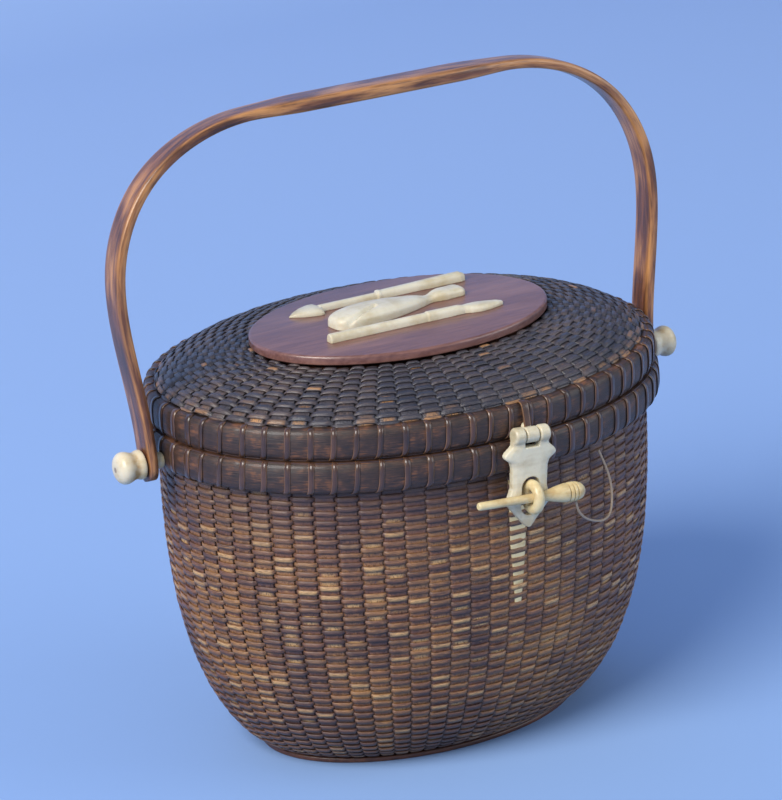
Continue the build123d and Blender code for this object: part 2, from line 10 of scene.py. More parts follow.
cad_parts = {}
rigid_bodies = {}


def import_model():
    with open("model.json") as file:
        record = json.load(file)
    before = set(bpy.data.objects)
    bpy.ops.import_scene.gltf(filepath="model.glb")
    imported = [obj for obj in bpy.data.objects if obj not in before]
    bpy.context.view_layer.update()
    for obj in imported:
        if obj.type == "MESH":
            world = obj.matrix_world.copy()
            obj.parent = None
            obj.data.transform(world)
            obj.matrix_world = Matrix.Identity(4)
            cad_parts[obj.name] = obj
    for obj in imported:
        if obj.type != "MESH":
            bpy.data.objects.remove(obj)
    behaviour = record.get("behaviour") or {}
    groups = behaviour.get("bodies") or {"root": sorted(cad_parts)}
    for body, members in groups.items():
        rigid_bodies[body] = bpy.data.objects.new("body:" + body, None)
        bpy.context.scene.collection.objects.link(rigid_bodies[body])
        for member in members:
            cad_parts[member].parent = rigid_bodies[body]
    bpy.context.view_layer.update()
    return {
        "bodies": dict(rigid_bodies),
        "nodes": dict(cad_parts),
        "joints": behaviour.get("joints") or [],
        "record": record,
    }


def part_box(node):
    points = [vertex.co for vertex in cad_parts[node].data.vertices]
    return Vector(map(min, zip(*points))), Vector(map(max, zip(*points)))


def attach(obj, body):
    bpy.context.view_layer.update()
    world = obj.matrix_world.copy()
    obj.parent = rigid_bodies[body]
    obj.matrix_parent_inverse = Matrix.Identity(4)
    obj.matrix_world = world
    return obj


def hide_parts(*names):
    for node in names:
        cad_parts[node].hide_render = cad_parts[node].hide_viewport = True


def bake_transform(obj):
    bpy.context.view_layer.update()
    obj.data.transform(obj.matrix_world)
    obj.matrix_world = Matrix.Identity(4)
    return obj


bl_info = {
    "name": "Oval woven purse",
    "version": (1, 0, 0),
    "blender": (4, 5, 0),
    "location": "3D View > Sidebar > Purse",
    "description": "Weave, rims, carvings, latch and handle of an oval woven purse",
    "category": "Object",
}

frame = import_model()

MM = 0.001
BACK = pi / 2

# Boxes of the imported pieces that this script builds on
WALL_LOW, WALL_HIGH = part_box("body_weave")
FOOT_LOW, FOOT_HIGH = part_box("base_plate")
RIM_LOW, RIM_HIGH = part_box("body_rim_outer")
LID_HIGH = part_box("lid_weave")[1]
LID_RIM_LOW, LID_RIM_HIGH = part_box("lid_rim_outer")
PLAQUE_LOW, PLAQUE_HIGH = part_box("lid_plaque")
PIN_LOW, PIN_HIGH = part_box("hasp_pin")
PIVOT_LOW, PIVOT_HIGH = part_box("handle_pin_r")

# Points on a wall's side curve, and how much closer they lie towards its foot
PROFILE_POINTS = 120
PROFILE_CROWDING = 1.8
# Shape of the body's side curve, and of the lid's dome
BODY_POWER, BODY_ROOT = 3.0, 2 / 3
DOME_POWER = 1.75
# How far the weave reaches in behind a rim, and how far the wall stands inside the base's edge
RIM_TUCK = 2.0 * MM
BOARD_INSET = 1.6 * MM
# A share this close to a whole number counts as whole
WHOLE_SLACK = 0.0005
# Points this close are one, and edges this sharp stay crisp
WELD = 0.002 * MM
CREASE = radians(40)

PIVOT_Z = (PIVOT_LOW.z + PIVOT_HIGH.z) / 2
HASP_TILT = radians(4.5)
# The hasp's own frame: X along its pin, Y inwards and Z up
LATCH = Matrix.Translation((PIN_LOW + PIN_HIGH) / 2) @ Matrix.Rotation(HASP_TILT, 4, "Y")
# Where the staple's ring and the peg's axis lie in the hasp's frame
RING = LATCH @ Matrix.Translation(Vector((0, -3.5, -25.8)) * MM)
PEG = LATCH @ Matrix.Translation(Vector((0, -4.5, -25.8)) * MM)


class Wire:
    """An output socket that adds Math or Vector Math nodes when it stands in an expression."""

    def __init__(self, net, socket):
        self.net = net
        self.socket = socket

    def call(self, operation, *others):
        """One Math node on this value and others."""
        values = dict(enumerate((self, *others)))
        return self.net.node("ShaderNodeMath", {"operation": operation}, values).out(0)

    def vector_call(self, operation, *others):
        """One Vector Math node on this vector and others."""
        values = dict(enumerate((self, *others)))
        return self.net.node("ShaderNodeVectorMath", {"operation": operation}, values).out(0)

    def pair(self, operation, first, second):
        """A two-sided operation, on vectors where either side is one."""
        for side in (first, second):
            if isinstance(side, Wire) and side.socket.type == "VECTOR":
                kind = "ShaderNodeVectorMath"
                break
        else:
            kind = "ShaderNodeMath"
        return self.net.node(kind, {"operation": operation}, {0: first, 1: second}).out(0)

    def __add__(self, other):
        return self.pair("ADD", self, other)

    def __sub__(self, other):
        return self.pair("SUBTRACT", self, other)

    def __mul__(self, other):
        return self.pair("MULTIPLY", self, other)

    def __truediv__(self, other):
        return self.pair("DIVIDE", self, other)

    def __radd__(self, other):
        return self.pair("ADD", other, self)

    def __rsub__(self, other):
        return self.pair("SUBTRACT", other, self)

    def __rmul__(self, other):
        return self.pair("MULTIPLY", other, self)

    def __neg__(self):
        return self * -1

    def __pow__(self, other):
        return self.call("POWER", other)

    def __abs__(self):
        return self.call("ABSOLUTE")

    def sine(self):
        return self.call("SINE")

    def cosine(self):
        return self.call("COSINE")

    def whole(self):
        return self.call("FLOOR")

    def swell(self, power):
        """Keeps the sign and raises the size to a power, which squares up a round section."""
        return self.call("SIGN") * abs(self) ** power

    def parts(self):
        """The three numbers of a vector."""
        node = self.net.node("ShaderNodeSeparateXYZ", {}, {0: self})
        return node.out(0), node.out(1), node.out(2)

    def unit(self):
        return self.vector_call("NORMALIZE")

    def cross(self, other):
        return self.vector_call("CROSS_PRODUCT", other)

    def length(self):
        return self.net.node("ShaderNodeVectorMath", {"operation": "LENGTH"}, {0: self}).out(1)

    def rise(self, low, high):
        """0 below low, 1 above high, and a smooth step between."""
        node = self.net.node(
            "ShaderNodeMapRange",
            {"interpolation_type": "SMOOTHSTEP"},
            {"Value": self, "From Min": low, "From Max": high},
        )
        return node.out(0)


class Made:
    """A node just added, whose outputs are read as wires."""

    def __init__(self, net, node):
        self.net = net
        self.node = node

    def out(self, key):
        return Wire(self.net, self.node.outputs[key])


class Net:
    """A node tree that is written as expressions."""

    def __init__(self, tree):
        self.tree = tree

    def node(self, kind, settings=None, sockets=None):
        """Adds a node of a type, with its settings first and then its sockets' values or links."""
        node = self.tree.nodes.new(kind)
        for key, value in (settings or {}).items():
            setattr(node, key, value)
        for key, value in (sockets or {}).items():
            target = node.inputs[key]
            if isinstance(value, Wire):
                self.tree.links.new(value.socket, target)
            elif target.type in ("VECTOR", "RGBA") and not hasattr(value, "__len__"):
                target.default_value = [value] * len(target.default_value)
            elif target.type == "RGBA":
                target.default_value = [*value[:3], 1.0]
            else:
                target.default_value = value
        return Made(self, node)

    def vector(self, x, y, z):
        return self.node("ShaderNodeCombineXYZ", {}, {0: x, 1: y, 2: z}).out(0)

    def mix(self, factor, first, second, blend="MIX"):
        """A colour between two colours."""
        settings = {"data_type": "RGBA", "blend_type": blend}
        return self.node("ShaderNodeMix", settings, {0: factor, 6: first, 7: second}).out(2)

    def noise(self, vector, scale, detail=2.0, roughness=0.5):
        sockets = {"Vector": vector, "Scale": scale, "Detail": detail, "Roughness": roughness}
        return self.node("ShaderNodeTexNoise", {}, sockets).out(0)

    def chance(self, number, seed):
        """A number from 0 to 1 that depends on a whole number and a seed."""
        sockets = {"Vector": self.vector(number, seed, 0.0)}
        return self.node("ShaderNodeTexWhiteNoise", {"noise_dimensions": "2D"}, sockets).out(0)


class Rule(Net):
    """A geometry node tree with named inputs."""

    KINDS = {int: "NodeSocketInt", float: "NodeSocketFloat"}

    def __init__(self, name, inputs):
        super().__init__(bpy.data.node_groups.new(name, "GeometryNodeTree"))
        face = self.tree.interface
        face.new_socket("Geometry", in_out="OUTPUT", socket_type="NodeSocketGeometry")
        for key, kind in inputs.items():
            face.new_socket(key, in_out="INPUT", socket_type=self.KINDS[kind])
        face.new_socket("Material", in_out="INPUT", socket_type="NodeSocketMaterial")
        self.entry = self.node("NodeGroupInput")
        self.index = self.node("GeometryNodeInputIndex").out(0)

    def get(self, *names):
        found = [self.entry.out(name) for name in names]
        return found[0] if len(found) == 1 else found

    def keep(self, geometry, along, across, lift):
        """Stores the three numbers on the geometry that the cane and wood paints read."""
        for name, value in (("along", along), ("across", across), ("lift", lift)):
            geometry = self.node(
                "GeometryNodeStoreNamedAttribute",
                {"data_type": "FLOAT", "domain": "POINT"},
                {"Geometry": geometry, "Name": name, "Value": value},
            ).out(0)
        return geometry

    def strands(self, count, steps, sides):
        """Closed strips of many rings.

        Gives the geometry, each point's strand, ring and angle round the ring, and whether a face
        joins two strands.
        """
        sockets = {"Vertices X": count * steps, "Vertices Y": sides + 1}
        grid = self.node("GeometryNodeMeshGrid", {}, sockets).out(0)
        ring = (self.index / (sides + 1)).whole()
        angle = (self.index - ring * (sides + 1)) * (2 * pi) / sides
        strand = (ring / steps).whole()
        share = ((self.index / sides).whole() + 1) / steps
        between = (share - share.whole()).call("LESS_THAN", WHOLE_SLACK)
        return grid, strand, ring - strand * steps, angle, between

    def close(self, geometry, position, between=None):
        """Places the points, cuts the strips apart, joins their seams and finishes the tree."""
        work = [("GeometryNodeSetPosition", {}, {"Position": position})]
        if between is not None:
            work.append(("GeometryNodeDeleteGeometry", {"domain": "FACE"}, {"Selection": between}))
        work += [
            ("GeometryNodeMergeByDistance", {}, {"Distance": WELD}),
            ("GeometryNodeSetShadeSmooth", {}, {}),
            ("GeometryNodeRealizeInstances", {}, {}),
            ("GeometryNodeSetMaterial", {}, {"Material": self.get("Material")}),
        ]
        for kind, settings, sockets in work:
            geometry = self.node(kind, settings, {"Geometry": geometry, **sockets}).out(0)
        self.node("NodeGroupOutput", {}, {"Geometry": geometry})


WALL_SIZES = (
    "Rim Half Length", "Rim Half Width", "Rim Height", "Foot Half Length", "Foot Half Width",
    "Foot Height", "Power", "Root", "Outward",
)
WALL_INPUTS = {**dict.fromkeys(WALL_SIZES, float), "Staves": int}
HOOP_SIZES = ("Half Length", "Half Width", "Height", "Hoop Thickness", "Hoop Height")
HOOP_INPUTS = {**dict.fromkeys(HOOP_SIZES, float), "Bindings": int}


def oval_angle(turn, half_a, half_b):
    """Angle on an oval at a share of a turn from the back, where equal shares are about as long."""
    even = (half_a * half_a - half_b * half_b) / (half_a * half_a + half_b * half_b) / 4
    plain = turn * (2 * pi) + BACK
    return plain + even * (plain * 2).sine()


def wall_profile(rule):
    """Side curve of an oval wall: X is its reach from the foot, Z its height, rim first."""
    rim_a, rim_b, rim_z = rule.get("Rim Half Length", "Rim Half Width", "Rim Height")
    foot_a, foot_b, foot_z = rule.get("Foot Half Length", "Foot Half Width", "Foot Height")
    power, root = rule.get("Power", "Root")
    line = rule.node("GeometryNodeCurvePrimitiveLine").out(0)
    line = rule.node("GeometryNodeResampleCurve", {}, {"Curve": line, "Count": PROFILE_POINTS}).out(0)
    fall = 1 - (1 - rule.index / (PROFILE_POINTS - 1)) ** PROFILE_CROWDING
    reach = (1 - fall**power).call("MAXIMUM", 0.0) ** root
    span = (rim_a - foot_a + rim_b - foot_b) / 2
    place = rule.vector(reach * span, 0.0, rim_z + (foot_z - rim_z) * fall)
    curve = rule.node("GeometryNodeSetPosition", {}, {"Geometry": line, "Position": place}).out(0)
    return curve, span


def on_wall(rule, turn, fall):
    """Point, outward and downward directions of a wall at a share of a turn and a length down it."""
    rim_a, rim_b = rule.get("Rim Half Length", "Rim Half Width")
    foot_a, foot_b, outward = rule.get("Foot Half Length", "Foot Half Width", "Outward")
    curve, span = wall_profile(rule)
    sockets = {"Curves": curve, "Length": fall}
    sample = rule.node("GeometryNodeSampleCurve", {"mode": "LENGTH"}, sockets)
    x, _, height = sample.out("Position").parts()
    along_x, _, along_z = sample.out("Tangent").parts()
    angle = oval_angle(turn, rim_a, rim_b)
    reach = x / span
    bend = along_x / span
    half_a = foot_a + (rim_a - foot_a) * reach
    half_b = foot_b + (rim_b - foot_b) * reach
    place = rule.vector(half_a * angle.cosine(), half_b * angle.sine(), height)
    round_way = rule.vector(-half_a * angle.sine(), half_b * angle.cosine(), 0.0)
    down_x = (rim_a - foot_a) * bend * angle.cosine()
    down_y = (rim_b - foot_b) * bend * angle.sine()
    down = rule.vector(down_x, down_y, along_z).unit()
    out = down.cross(round_way).unit() * outward
    return place, out, down, round_way


def weaver_rule():
    """One long weaver that winds round a wall, over one stave and under the next."""
    sizes = (
        "First Turn", "Turns", "Row Pitch", "Width", "Thickness", "Weave Depth", "Swing", "Firmness",
        "Wander",
    )
    counts = {"Steps per Stave": int, "Seed": int}
    rule = Rule("Weaver", {**WALL_INPUTS, **dict.fromkeys(sizes, float), **counts})
    sides = 6
    staves, steps, turns = rule.get("Staves", "Steps per Stave", "Turns")
    first, pitch, seed = rule.get("First Turn", "Row Pitch", "Seed")
    width, thickness, depth = rule.get("Width", "Thickness", "Weave Depth")
    swing, firmness, wander = rule.get("Swing", "Firmness", "Wander")
    total = turns * staves * steps + 1
    grid, _, ring, angle, _ = rule.strands(1, total, sides)
    stave = ring / steps + first * staves
    turn = stave / staves
    wave = (stave * pi).cosine()
    lift = (wave * firmness).call("TANH") / firmness.call("TANH")
    row = (stave + 0.5).whole()
    loose = rule.chance(row, seed) - 0.5
    place, out, down, _ = on_wall(rule, turn, (turn + 0.5) * pitch + loose * wander * wave * wave)
    taper_rings = 3
    size = (ring.call("MINIMUM", total - 1 - ring) / taper_rings).call("MINIMUM", 1.0)
    dip_width, uneven_width, uneven_swing = 0.93, 0.14, 0.3
    wide = width * size * (dip_width + (1 - dip_width) * lift * lift + loose * uneven_width)
    flatness = 0.5
    surface = thickness * size * 0.5 * angle.cosine().swell(flatness)
    high = (swing + loose * thickness * uneven_swing) * lift - depth + surface
    point = place + out * high + down * (wide * 0.5 * angle.sine())
    rule.close(rule.keep(grid, stave, angle.sine(), lift), point)
    return rule


def stave_rule():
    """Flat staves that run down a wall under its weavers."""
    sizes = ("Fall Length", "Width Share", "Thickness", "Weave Depth")
    rule = Rule("Staves", {**WALL_INPUTS, **dict.fromkeys(sizes, float), "Steps": int})
    sides = 8
    staves, steps, fall_length = rule.get("Staves", "Steps", "Fall Length")
    share, thickness, depth = rule.get("Width Share", "Thickness", "Weave Depth")
    grid, strand, ring, angle, between = rule.strands(staves, steps, sides)
    run = ring / (steps - 1)
    place, out, _, round_way = on_wall(rule, strand / staves, run * fall_length)
    taper, squareness = 200, 0.6
    ends = (run * (1 - run) * taper).call("MINIMUM", 1.0)
    half = round_way.length() * share * pi / staves * ends
    side = angle.sine().swell(squareness)
    high = thickness * ends * 0.5 * angle.cosine() - depth
    point = place + out * high + round_way.unit() * (half * side)
    patch_length = 4 * MM
    patches_apart = 37
    along = run * fall_length / patch_length + strand * patches_apart
    rule.close(rule.keep(grid, along, side, angle.cosine()), point, between)
    return rule


def on_hoop(rule, turn, angle):
    """Point on a half-round hoop, the normal there and the way round, at an angle in its section."""
    half_a, half_b, height = rule.get("Half Length", "Half Width", "Height")
    thick, tall = rule.get("Hoop Thickness", "Hoop Height")
    around = oval_angle(turn, half_a, half_b)
    round_way = rule.vector(-half_a * around.sine(), half_b * around.cosine(), 0.0).unit()
    out = round_way.cross((0.0, 0.0, 1.0))
    cosine = angle.cosine()
    sine = angle.sine()
    fullness, squareness = 0.4, 0.66
    bulge = cosine.call("MAXIMUM", 0.0) ** fullness
    base = rule.vector(half_a * around.cosine(), half_b * around.sine(), height)
    lift = rule.vector(0.0, 0.0, sine.swell(squareness) * tall * 0.5)
    point = base + out * (bulge * thick) + lift
    normal = (out * cosine * tall + rule.vector(0.0, 0.0, sine * thick * 2)).unit()
    return point, normal, round_way


def hoop_rule():
    """Half-round hoop, drawn in a little under each binding."""
    rule = Rule("Rim hoop", {**HOOP_INPUTS, "Steps per Binding": int, "Draw": float})
    sides = 20
    count, steps, draw = rule.get("Bindings", "Steps per Binding", "Draw")
    total = count * steps + 1
    grid, _, ring, angle, _ = rule.strands(1, total, sides)
    turn = ring / (total - 1)
    narrowness = 6
    near = (turn * count * 2 * pi).cosine() * -0.5 + 0.5
    point, normal, _ = on_hoop(rule, turn, angle)
    shown = angle.cosine().call("MAXIMUM", 0.0) ** 0.5
    grid = rule.keep(grid, turn * count, angle.sine(), angle.cosine())
    rule.close(grid, point - normal * (near**narrowness * draw * shown))
    return rule


def binding_rule():
    """Cane strips bound over a hoop at even steps, each a little slanted."""
    sizes = ("Width", "Thickness", "Slant", "Reach")
    counts = {"Steps": int, "Seed": int}
    rule = Rule("Bindings", {**HOOP_INPUTS, **dict.fromkeys(sizes, float), **counts})
    sides = 6
    count, steps, seed = rule.get("Bindings", "Steps", "Seed")
    width, thickness, slant, reach = rule.get("Width", "Thickness", "Slant", "Reach")
    grid, strand, ring, angle, between = rule.strands(count, steps, sides)
    run = ring / (steps - 1)
    taper, curve, flatness = 60, 0.1, 0.35
    uneven_place, uneven_width = 0.2, 0.3
    patches, patches_apart = 3, 17
    ends = (run * (1 - run) * taper).call("MINIMUM", 1.0)
    loose = rule.chance(strand, seed) - 0.5
    bow = (run * pi).sine() * curve
    shift = loose * uneven_place
    turn = (strand + 0.5 + shift + (run - 0.5) * (slant + shift) + bow) / count
    point, normal, round_way = on_hoop(rule, turn, (0.5 - run) * reach)
    high = thickness * ends * (0.25 + 0.5 * angle.cosine().swell(flatness))
    wide = width * ends * (0.9 + uneven_width * loose)
    point = point + normal * high + round_way * (wide * 0.5 * angle.sine())
    along = run * patches + strand * patches_apart
    rule.close(rule.keep(grid, along, angle.sine(), angle.cosine()), point, between)
    return rule


def point_outwards(mesh):
    """Turns every closed shell's faces outwards."""
    work = bmesh.new()
    work.from_mesh(mesh)
    bmesh.ops.recalc_face_normals(work, faces=work.faces)
    work.to_mesh(mesh)
    work.free()


def link(name, data):
    """A new object in the scene."""
    piece = bpy.data.objects.new(name, data)
    bpy.context.scene.collection.objects.link(piece)
    return piece


def smooth(points, count, first=None, last=None):
    """Evenly spread points on a cubic spline through some points, with end directions if given."""
    points = np.array(points, float)
    steps = np.linalg.norm(np.diff(points, axis=0), axis=1)
    at = np.concatenate(([0], np.cumsum(steps)))
    slopes = np.diff(points, axis=0) / steps[:, None]
    rule = np.eye(len(points))
    goal = np.zeros_like(points)
    for i in range(1, len(points) - 1):
        rule[i, i - 1 : i + 2] = steps[i - 1], 2 * (steps[i - 1] + steps[i]), steps[i]
        goal[i] = 6 * (slopes[i] - slopes[i - 1])
    if first is not None:
        rule[0, :2] = 2 * steps[0], steps[0]
        goal[0] = 6 * (slopes[0] - np.array(first))
    if last is not None:
        rule[-1, -2:] = steps[-1], 2 * steps[-1]
        goal[-1] = 6 * (np.array(last) - slopes[-1])
    bend = np.linalg.solve(rule, goal)
    places = np.linspace(0, at[-1], count)
    i = np.clip(np.searchsorted(at, places, side="right") - 1, 0, len(points) - 2)
    step = steps[i][:, None]
    b = (places - at[i])[:, None] / step
    a = 1 - b
    curved = (a**3 - a) * bend[i] + (b**3 - b) * bend[i + 1]
    return a * points[i] + b * points[i + 1] + curved * step**2 / 6


def skin(name, rings, loop=False, **numbers):
    """Closed mesh through rings of equally many points, with numbers stored ring by ring."""
    count = len(rings[0])
    points = [tuple(point) for ring in rings for point in ring]
    faces = []
    for r in range(len(rings) - (not loop)):
        low = r * count
        high = (r + 1) % len(rings) * count
        for i in range(count):
            j = (i + 1) % count
            faces.append((low + i, low + j, high + j, high + i))
    if not loop:
        faces.append(tuple(range(count)))
        faces.append(tuple(range(len(points) - count, len(points))))
    mesh = bpy.data.meshes.new(name)
    mesh.from_pydata(points, [], faces)
    for key, values in numbers.items():
        mesh.attributes.new(key, "FLOAT", "POINT").data.foreach_set("value", np.ravel(values))
    point_outwards(mesh)
    mesh.shade_smooth()
    mesh.set_sharp_from_angle(angle=CREASE)
    return link(name, mesh)


def swell(value, power):
    """Keeps the sign and raises the size to a power."""
    return np.sign(value) * abs(value) ** power


def round_angles(count):
    """Even steps round a full turn."""
    return [2 * pi * i / count for i in range(count)]


def rounded_box(half_a, half_b, squareness, count):
    """Pairs round a rectangle with rounded corners, the rounder the nearer squareness is to 1."""
    angles = round_angles(count)
    return [(half_a * swell(cos(t), squareness), half_b * swell(sin(t), squareness)) for t in angles]


def domed(half, height, sharpness, count):
    """Pairs over a low dome that stands on a flat underside."""
    fullness = 0.8
    angles = [pi * i / count for i in range(count + 1)]
    return [(half * -swell(cos(t), fullness), height * sin(t) ** sharpness) for t in angles]


def placed(frame, points):
    """Points in millimetres, set in a frame."""
    return [frame @ (Vector(point) * MM) for point in points]


def turned(name, outline, frame, sides=40):
    """Lathe work round X: pairs of a place and a radius in millimetres, set in a frame."""
    # A point of no radius would make faces without an area
    least = 0.02
    angles = round_angles(sides)
    rings = []
    for x, radius in outline:
        radius = max(radius, least)
        rings.append(placed(frame, [(x, radius * cos(t), radius * sin(t)) for t in angles]))
    return skin(name, rings)


def lying(name, stations, sharpness, frame, steps=0, sides=20, groove=None):
    """Carving that lies flat. Stations are a place along X, half a width and a height, in millimetres.

    With steps, that many stations are spread on a spline through those given. A groove gives the
    depth of a cut at a place along X and a share of the half width.
    """
    if steps:
        stations = smooth(stations, steps)
    least = 0.1
    rings = []
    for x, half, height in stations:
        ring = []
        for y, z in domed(max(half, least), max(height, least), sharpness, sides):
            if groove is not None:
                z = z - groove(x, y / half)
            ring.append((x, y, z))
        rings.append(placed(frame, ring))
    return skin(name, rings)


def joined(name, parts):
    """One object from several, as one mesh of separate shells."""
    work = bmesh.new()
    for part in parts:
        work.from_mesh(part.data)
        bpy.data.objects.remove(part)
    mesh = bpy.data.meshes.new(name)
    work.to_mesh(mesh)
    work.free()
    return link(name, mesh)


def carved(piece, voxel, rounds, *cutters):
    """Makes overlapping shells one solid, cuts it and softens its edges as carving does."""
    piece.modifiers.new("whole", "REMESH").voxel_size = voxel
    for cutter in cutters:
        cut = piece.modifiers.new("cut", "BOOLEAN")
        cut.operation = "DIFFERENCE"
        cut.object = cutter
    if cutters:
        piece.modifiers.new("even", "REMESH").voxel_size = voxel
    soften = piece.modifiers.new("soften", "SMOOTH")
    soften.factor = 0.5
    soften.iterations = rounds
    keep_shape(piece)
    for cutter in cutters:
        bpy.data.objects.remove(cutter)
    piece.data.shade_smooth()
    return piece


def joined_smooth(name, parts):
    """Several shells as one object, shaded smooth with crisp corners."""
    piece = joined(name, parts)
    piece.data.shade_smooth()
    piece.data.set_sharp_from_angle(angle=CREASE)
    return piece


def wall_front(z):
    """Y of the body wall's surface at its front, at a height."""
    top, foot = RIM_LOW.z + RIM_TUCK, WALL_LOW.z
    fall = (top - z) / (top - foot)
    reach = (1 - max(fall, 0.0) ** BODY_POWER) ** BODY_ROOT
    foot_half = FOOT_HIGH.y - BOARD_INSET
    return -(foot_half + (WALL_HIGH.y - foot_half) * reach)


def baked(piece):
    """The piece's evaluated shape as a plain mesh."""
    graph = bpy.context.evaluated_depsgraph_get()
    solid = piece.evaluated_get(graph)
    return bpy.data.meshes.new_from_object(solid, preserve_all_data_layers=True, depsgraph=graph)


def keep_shape(piece):
    """Puts the evaluated shape in the place of the modifiers."""
    mesh = baked(piece)
    piece.modifiers.clear()
    piece.data = mesh


def grow(name, rule, values, material):
    """Runs a geometry node tree and keeps its result as a plain mesh."""
    piece = link(name, bpy.data.meshes.new(name))
    modifier = piece.modifiers.new(name, "NODES")
    modifier.node_group = rule.tree
    values = {**values, "Material": material}
    for socket in rule.tree.interface.items_tree:
        if socket.in_out == "INPUT":
            modifier[socket.identifier] = values[socket.name]
    keep_shape(piece)
    point_outwards(piece.data)
    return piece


def coat(piece, material):
    """Gives a piece one material all over."""
    piece.data.materials.clear()
    piece.data.materials.append(material)


def dress(material, *nodes):
    """Gives CAD nodes a material."""
    for node in nodes:
        coat(frame["nodes"][node], material)


def settle(piece, body, slot, *nodes, material=None):
    """The piece rides on a body, takes the material if one is given and stands for CAD nodes; the slot
    is not used.
    """
    if material is not None:
        coat(piece, material)
    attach(piece, body)
    if nodes:
        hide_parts(*nodes)


class Paint(Net):
    """A material that is written as expressions."""

    def __init__(self, name):
        material = bpy.data.materials.new(name)
        material.use_nodes = True
        material.node_tree.nodes.clear()
        super().__init__(material.node_tree)
        self.material = material
        self.object = self.node("ShaderNodeTexCoord").out("Object")

    def attribute(self, name):
        return self.node("ShaderNodeAttribute", {"attribute_name": name}).out("Fac")

    def scaled(self, x, y, z):
        """Object coordinates stretched along each axis."""
        return self.object * self.vector(x, y, z)

    def bump(self, height, distance, strength):
        sockets = {"Height": height, "Distance": distance, "Strength": strength}
        return self.node("ShaderNodeBump", {}, sockets).out(0)

    def finish(self, **sockets):
        """Ends in a Principled shader, with sockets named by words joined with underscores."""
        named = {key.replace("_", " ").title().replace("Ior", "IOR"): v for key, v in sockets.items()}
        shader = self.node("ShaderNodeBsdfPrincipled", {}, named)
        self.node("ShaderNodeOutputMaterial", {}, {0: shader.out(0)})
        return self.material

    def varnished(self, base, rough, normal, coat_share, coat_rough):
        """Ends in a Principled shader under a clear coat."""
        sockets = {"coat_weight": coat_share, "coat_roughness": coat_rough}
        return self.finish(base_color=base, roughness=rough, normal=normal, **sockets)


def colour(text):
    """Linear colour from a hex value."""
    parts = [int(text[i : i + 2], 16) / 255 for i in (0, 2, 4)]
    return tuple(c / 12.92 if c <= 0.04045 else ((c + 0.055) / 1.055) ** 2.4 for c in parts)


def colours(*texts):
    """Linear colours from hex values."""
    return [colour(text) for text in texts]


# Linear colours of the painted shade in the dips between beads and of the painted shadow line beside
# binding strips
GAP_SHADE = (0.007, 0.005, 0.005)
STRIP_BLACK = (0.006, 0.005, 0.005)


def cane(name, tones, tan_share, rough, low=None, high=None, shade_heights=None):
    """Stained cane: streaks along each strand, worn tops, painted shade in the dips and a tone for
    each bead.

    Where the heights low and high are given, more beads are bare at low and fewer towards high.
    Four shade heights, where given, paint shade on the cane: darker from the second down to
    the first, and from the third up to the fourth.
    """
    dark, mid, warm, tan = tones
    paint = Paint(name)
    along = paint.attribute("along")
    across = paint.attribute("across")
    lift = paint.attribute("lift")
    bead = (along + 0.5).whole()
    fine = paint.noise(paint.vector(along * 2.4, across * 5.0, bead * 0.37), 1.4, 3.0, 0.65)
    broad = paint.noise(paint.vector(along * 1.6, across * 1.6, bead * 0.61), 1.5, 2.0)
    stain = paint.noise(paint.object, 34.0, 4.0, 0.6)
    tone = (paint.chance(bead, 3.0) * 0.35 + stain * 1.0 + broad * 0.7 - 0.55).rise(0.0, 1.0)
    base = paint.mix(tone, dark, mid)
    patch = paint.noise(paint.object, 17.0, 3.0, 0.6)
    warmth = (paint.chance(bead, 7.0) * 0.35 + patch * 1.2 + broad * 0.5 - 0.75).rise(0.1, 0.8)
    base = paint.mix(warmth * 0.85, base, warm)
    light = paint.chance(bead, 11.0).rise(1 - tan_share, 1 - tan_share * 0.3)
    if low is not None:
        height = paint.object.parts()[2]
        near = 1 - height.rise(low, high)
        light = light + paint.chance(bead, 13.0).rise(0.45, 0.6) * near
    worn = lift.rise(0.3, 1.0) * (1 - abs(across)).rise(0.05, 0.6)
    share = (light + broad.rise(0.6, 0.8) * 0.35) * worn * fine.rise(0.2, 0.55)
    base = paint.mix(share.call("MINIMUM", 1.0), base, tan)
    base = paint.mix(fine.rise(0.52, 0.3) * 0.75, base, dark, "MULTIPLY")
    # Painted shade: the cane darkens towards the foot and up under the rim, between the four heights
    if shade_heights is not None:
        foot, belly, neck, top = shade_heights
        height = paint.object.parts()[2] + (stain - 0.5) * 0.03
        share = height.rise(neck, top) * 0.62 + (1 - height.rise(foot, belly)) * 0.4
        base = paint.mix(share, base, dark)
    # Painted shade: the dips where a weaver dives under a stave, and each strand's edges, darken
    # towards black
    edge = abs(across).rise(0.75, 1.0) * 0.3 + (1 - lift.rise(-0.6, 0.1)) * 0.75
    base = paint.mix(edge.call("MINIMUM", 0.93), base, GAP_SHADE)
    normal = paint.bump(fine + broad, 0.26 * MM, 0.9)
    return paint.varnished(base, rough + fine * 0.3, normal, 0.2, 0.3)


def binding_cane(name, dark, brown, pale):
    """Dark binding strips with painted highlights along their edges and a painted shadow line beside
    them.
    """
    paint = Paint(name)
    along = paint.attribute("along")
    side = paint.attribute("across")
    across = abs(side)
    lift = paint.attribute("lift")
    fine = paint.noise(paint.vector(along * 1.2, side * 4.0, along * 0.1), 1.6, 3.0, 0.6)
    patch = paint.noise(paint.object, 60.0, 3.0, 0.6)
    base = paint.mix((patch * 1.2 + fine * 0.6 - 0.5).rise(0.0, 0.8), dark, brown)
    # Painted highlight: pale lines along the edges of each strip's outer face, in the pale colour
    rim = across.rise(0.62, 0.8) * lift.rise(0.0, 0.4) * (patch + fine - 0.6).rise(0.2, 0.6)
    base = paint.mix(rim * 0.5, base, pale)
    base = paint.mix(1 - lift.rise(-0.3, 0.2), base, STRIP_BLACK)
    normal = paint.bump(fine, 0.1 * MM, 0.7)
    return paint.varnished(base, 0.24 + fine * 0.25, normal, 0.5, 0.15)


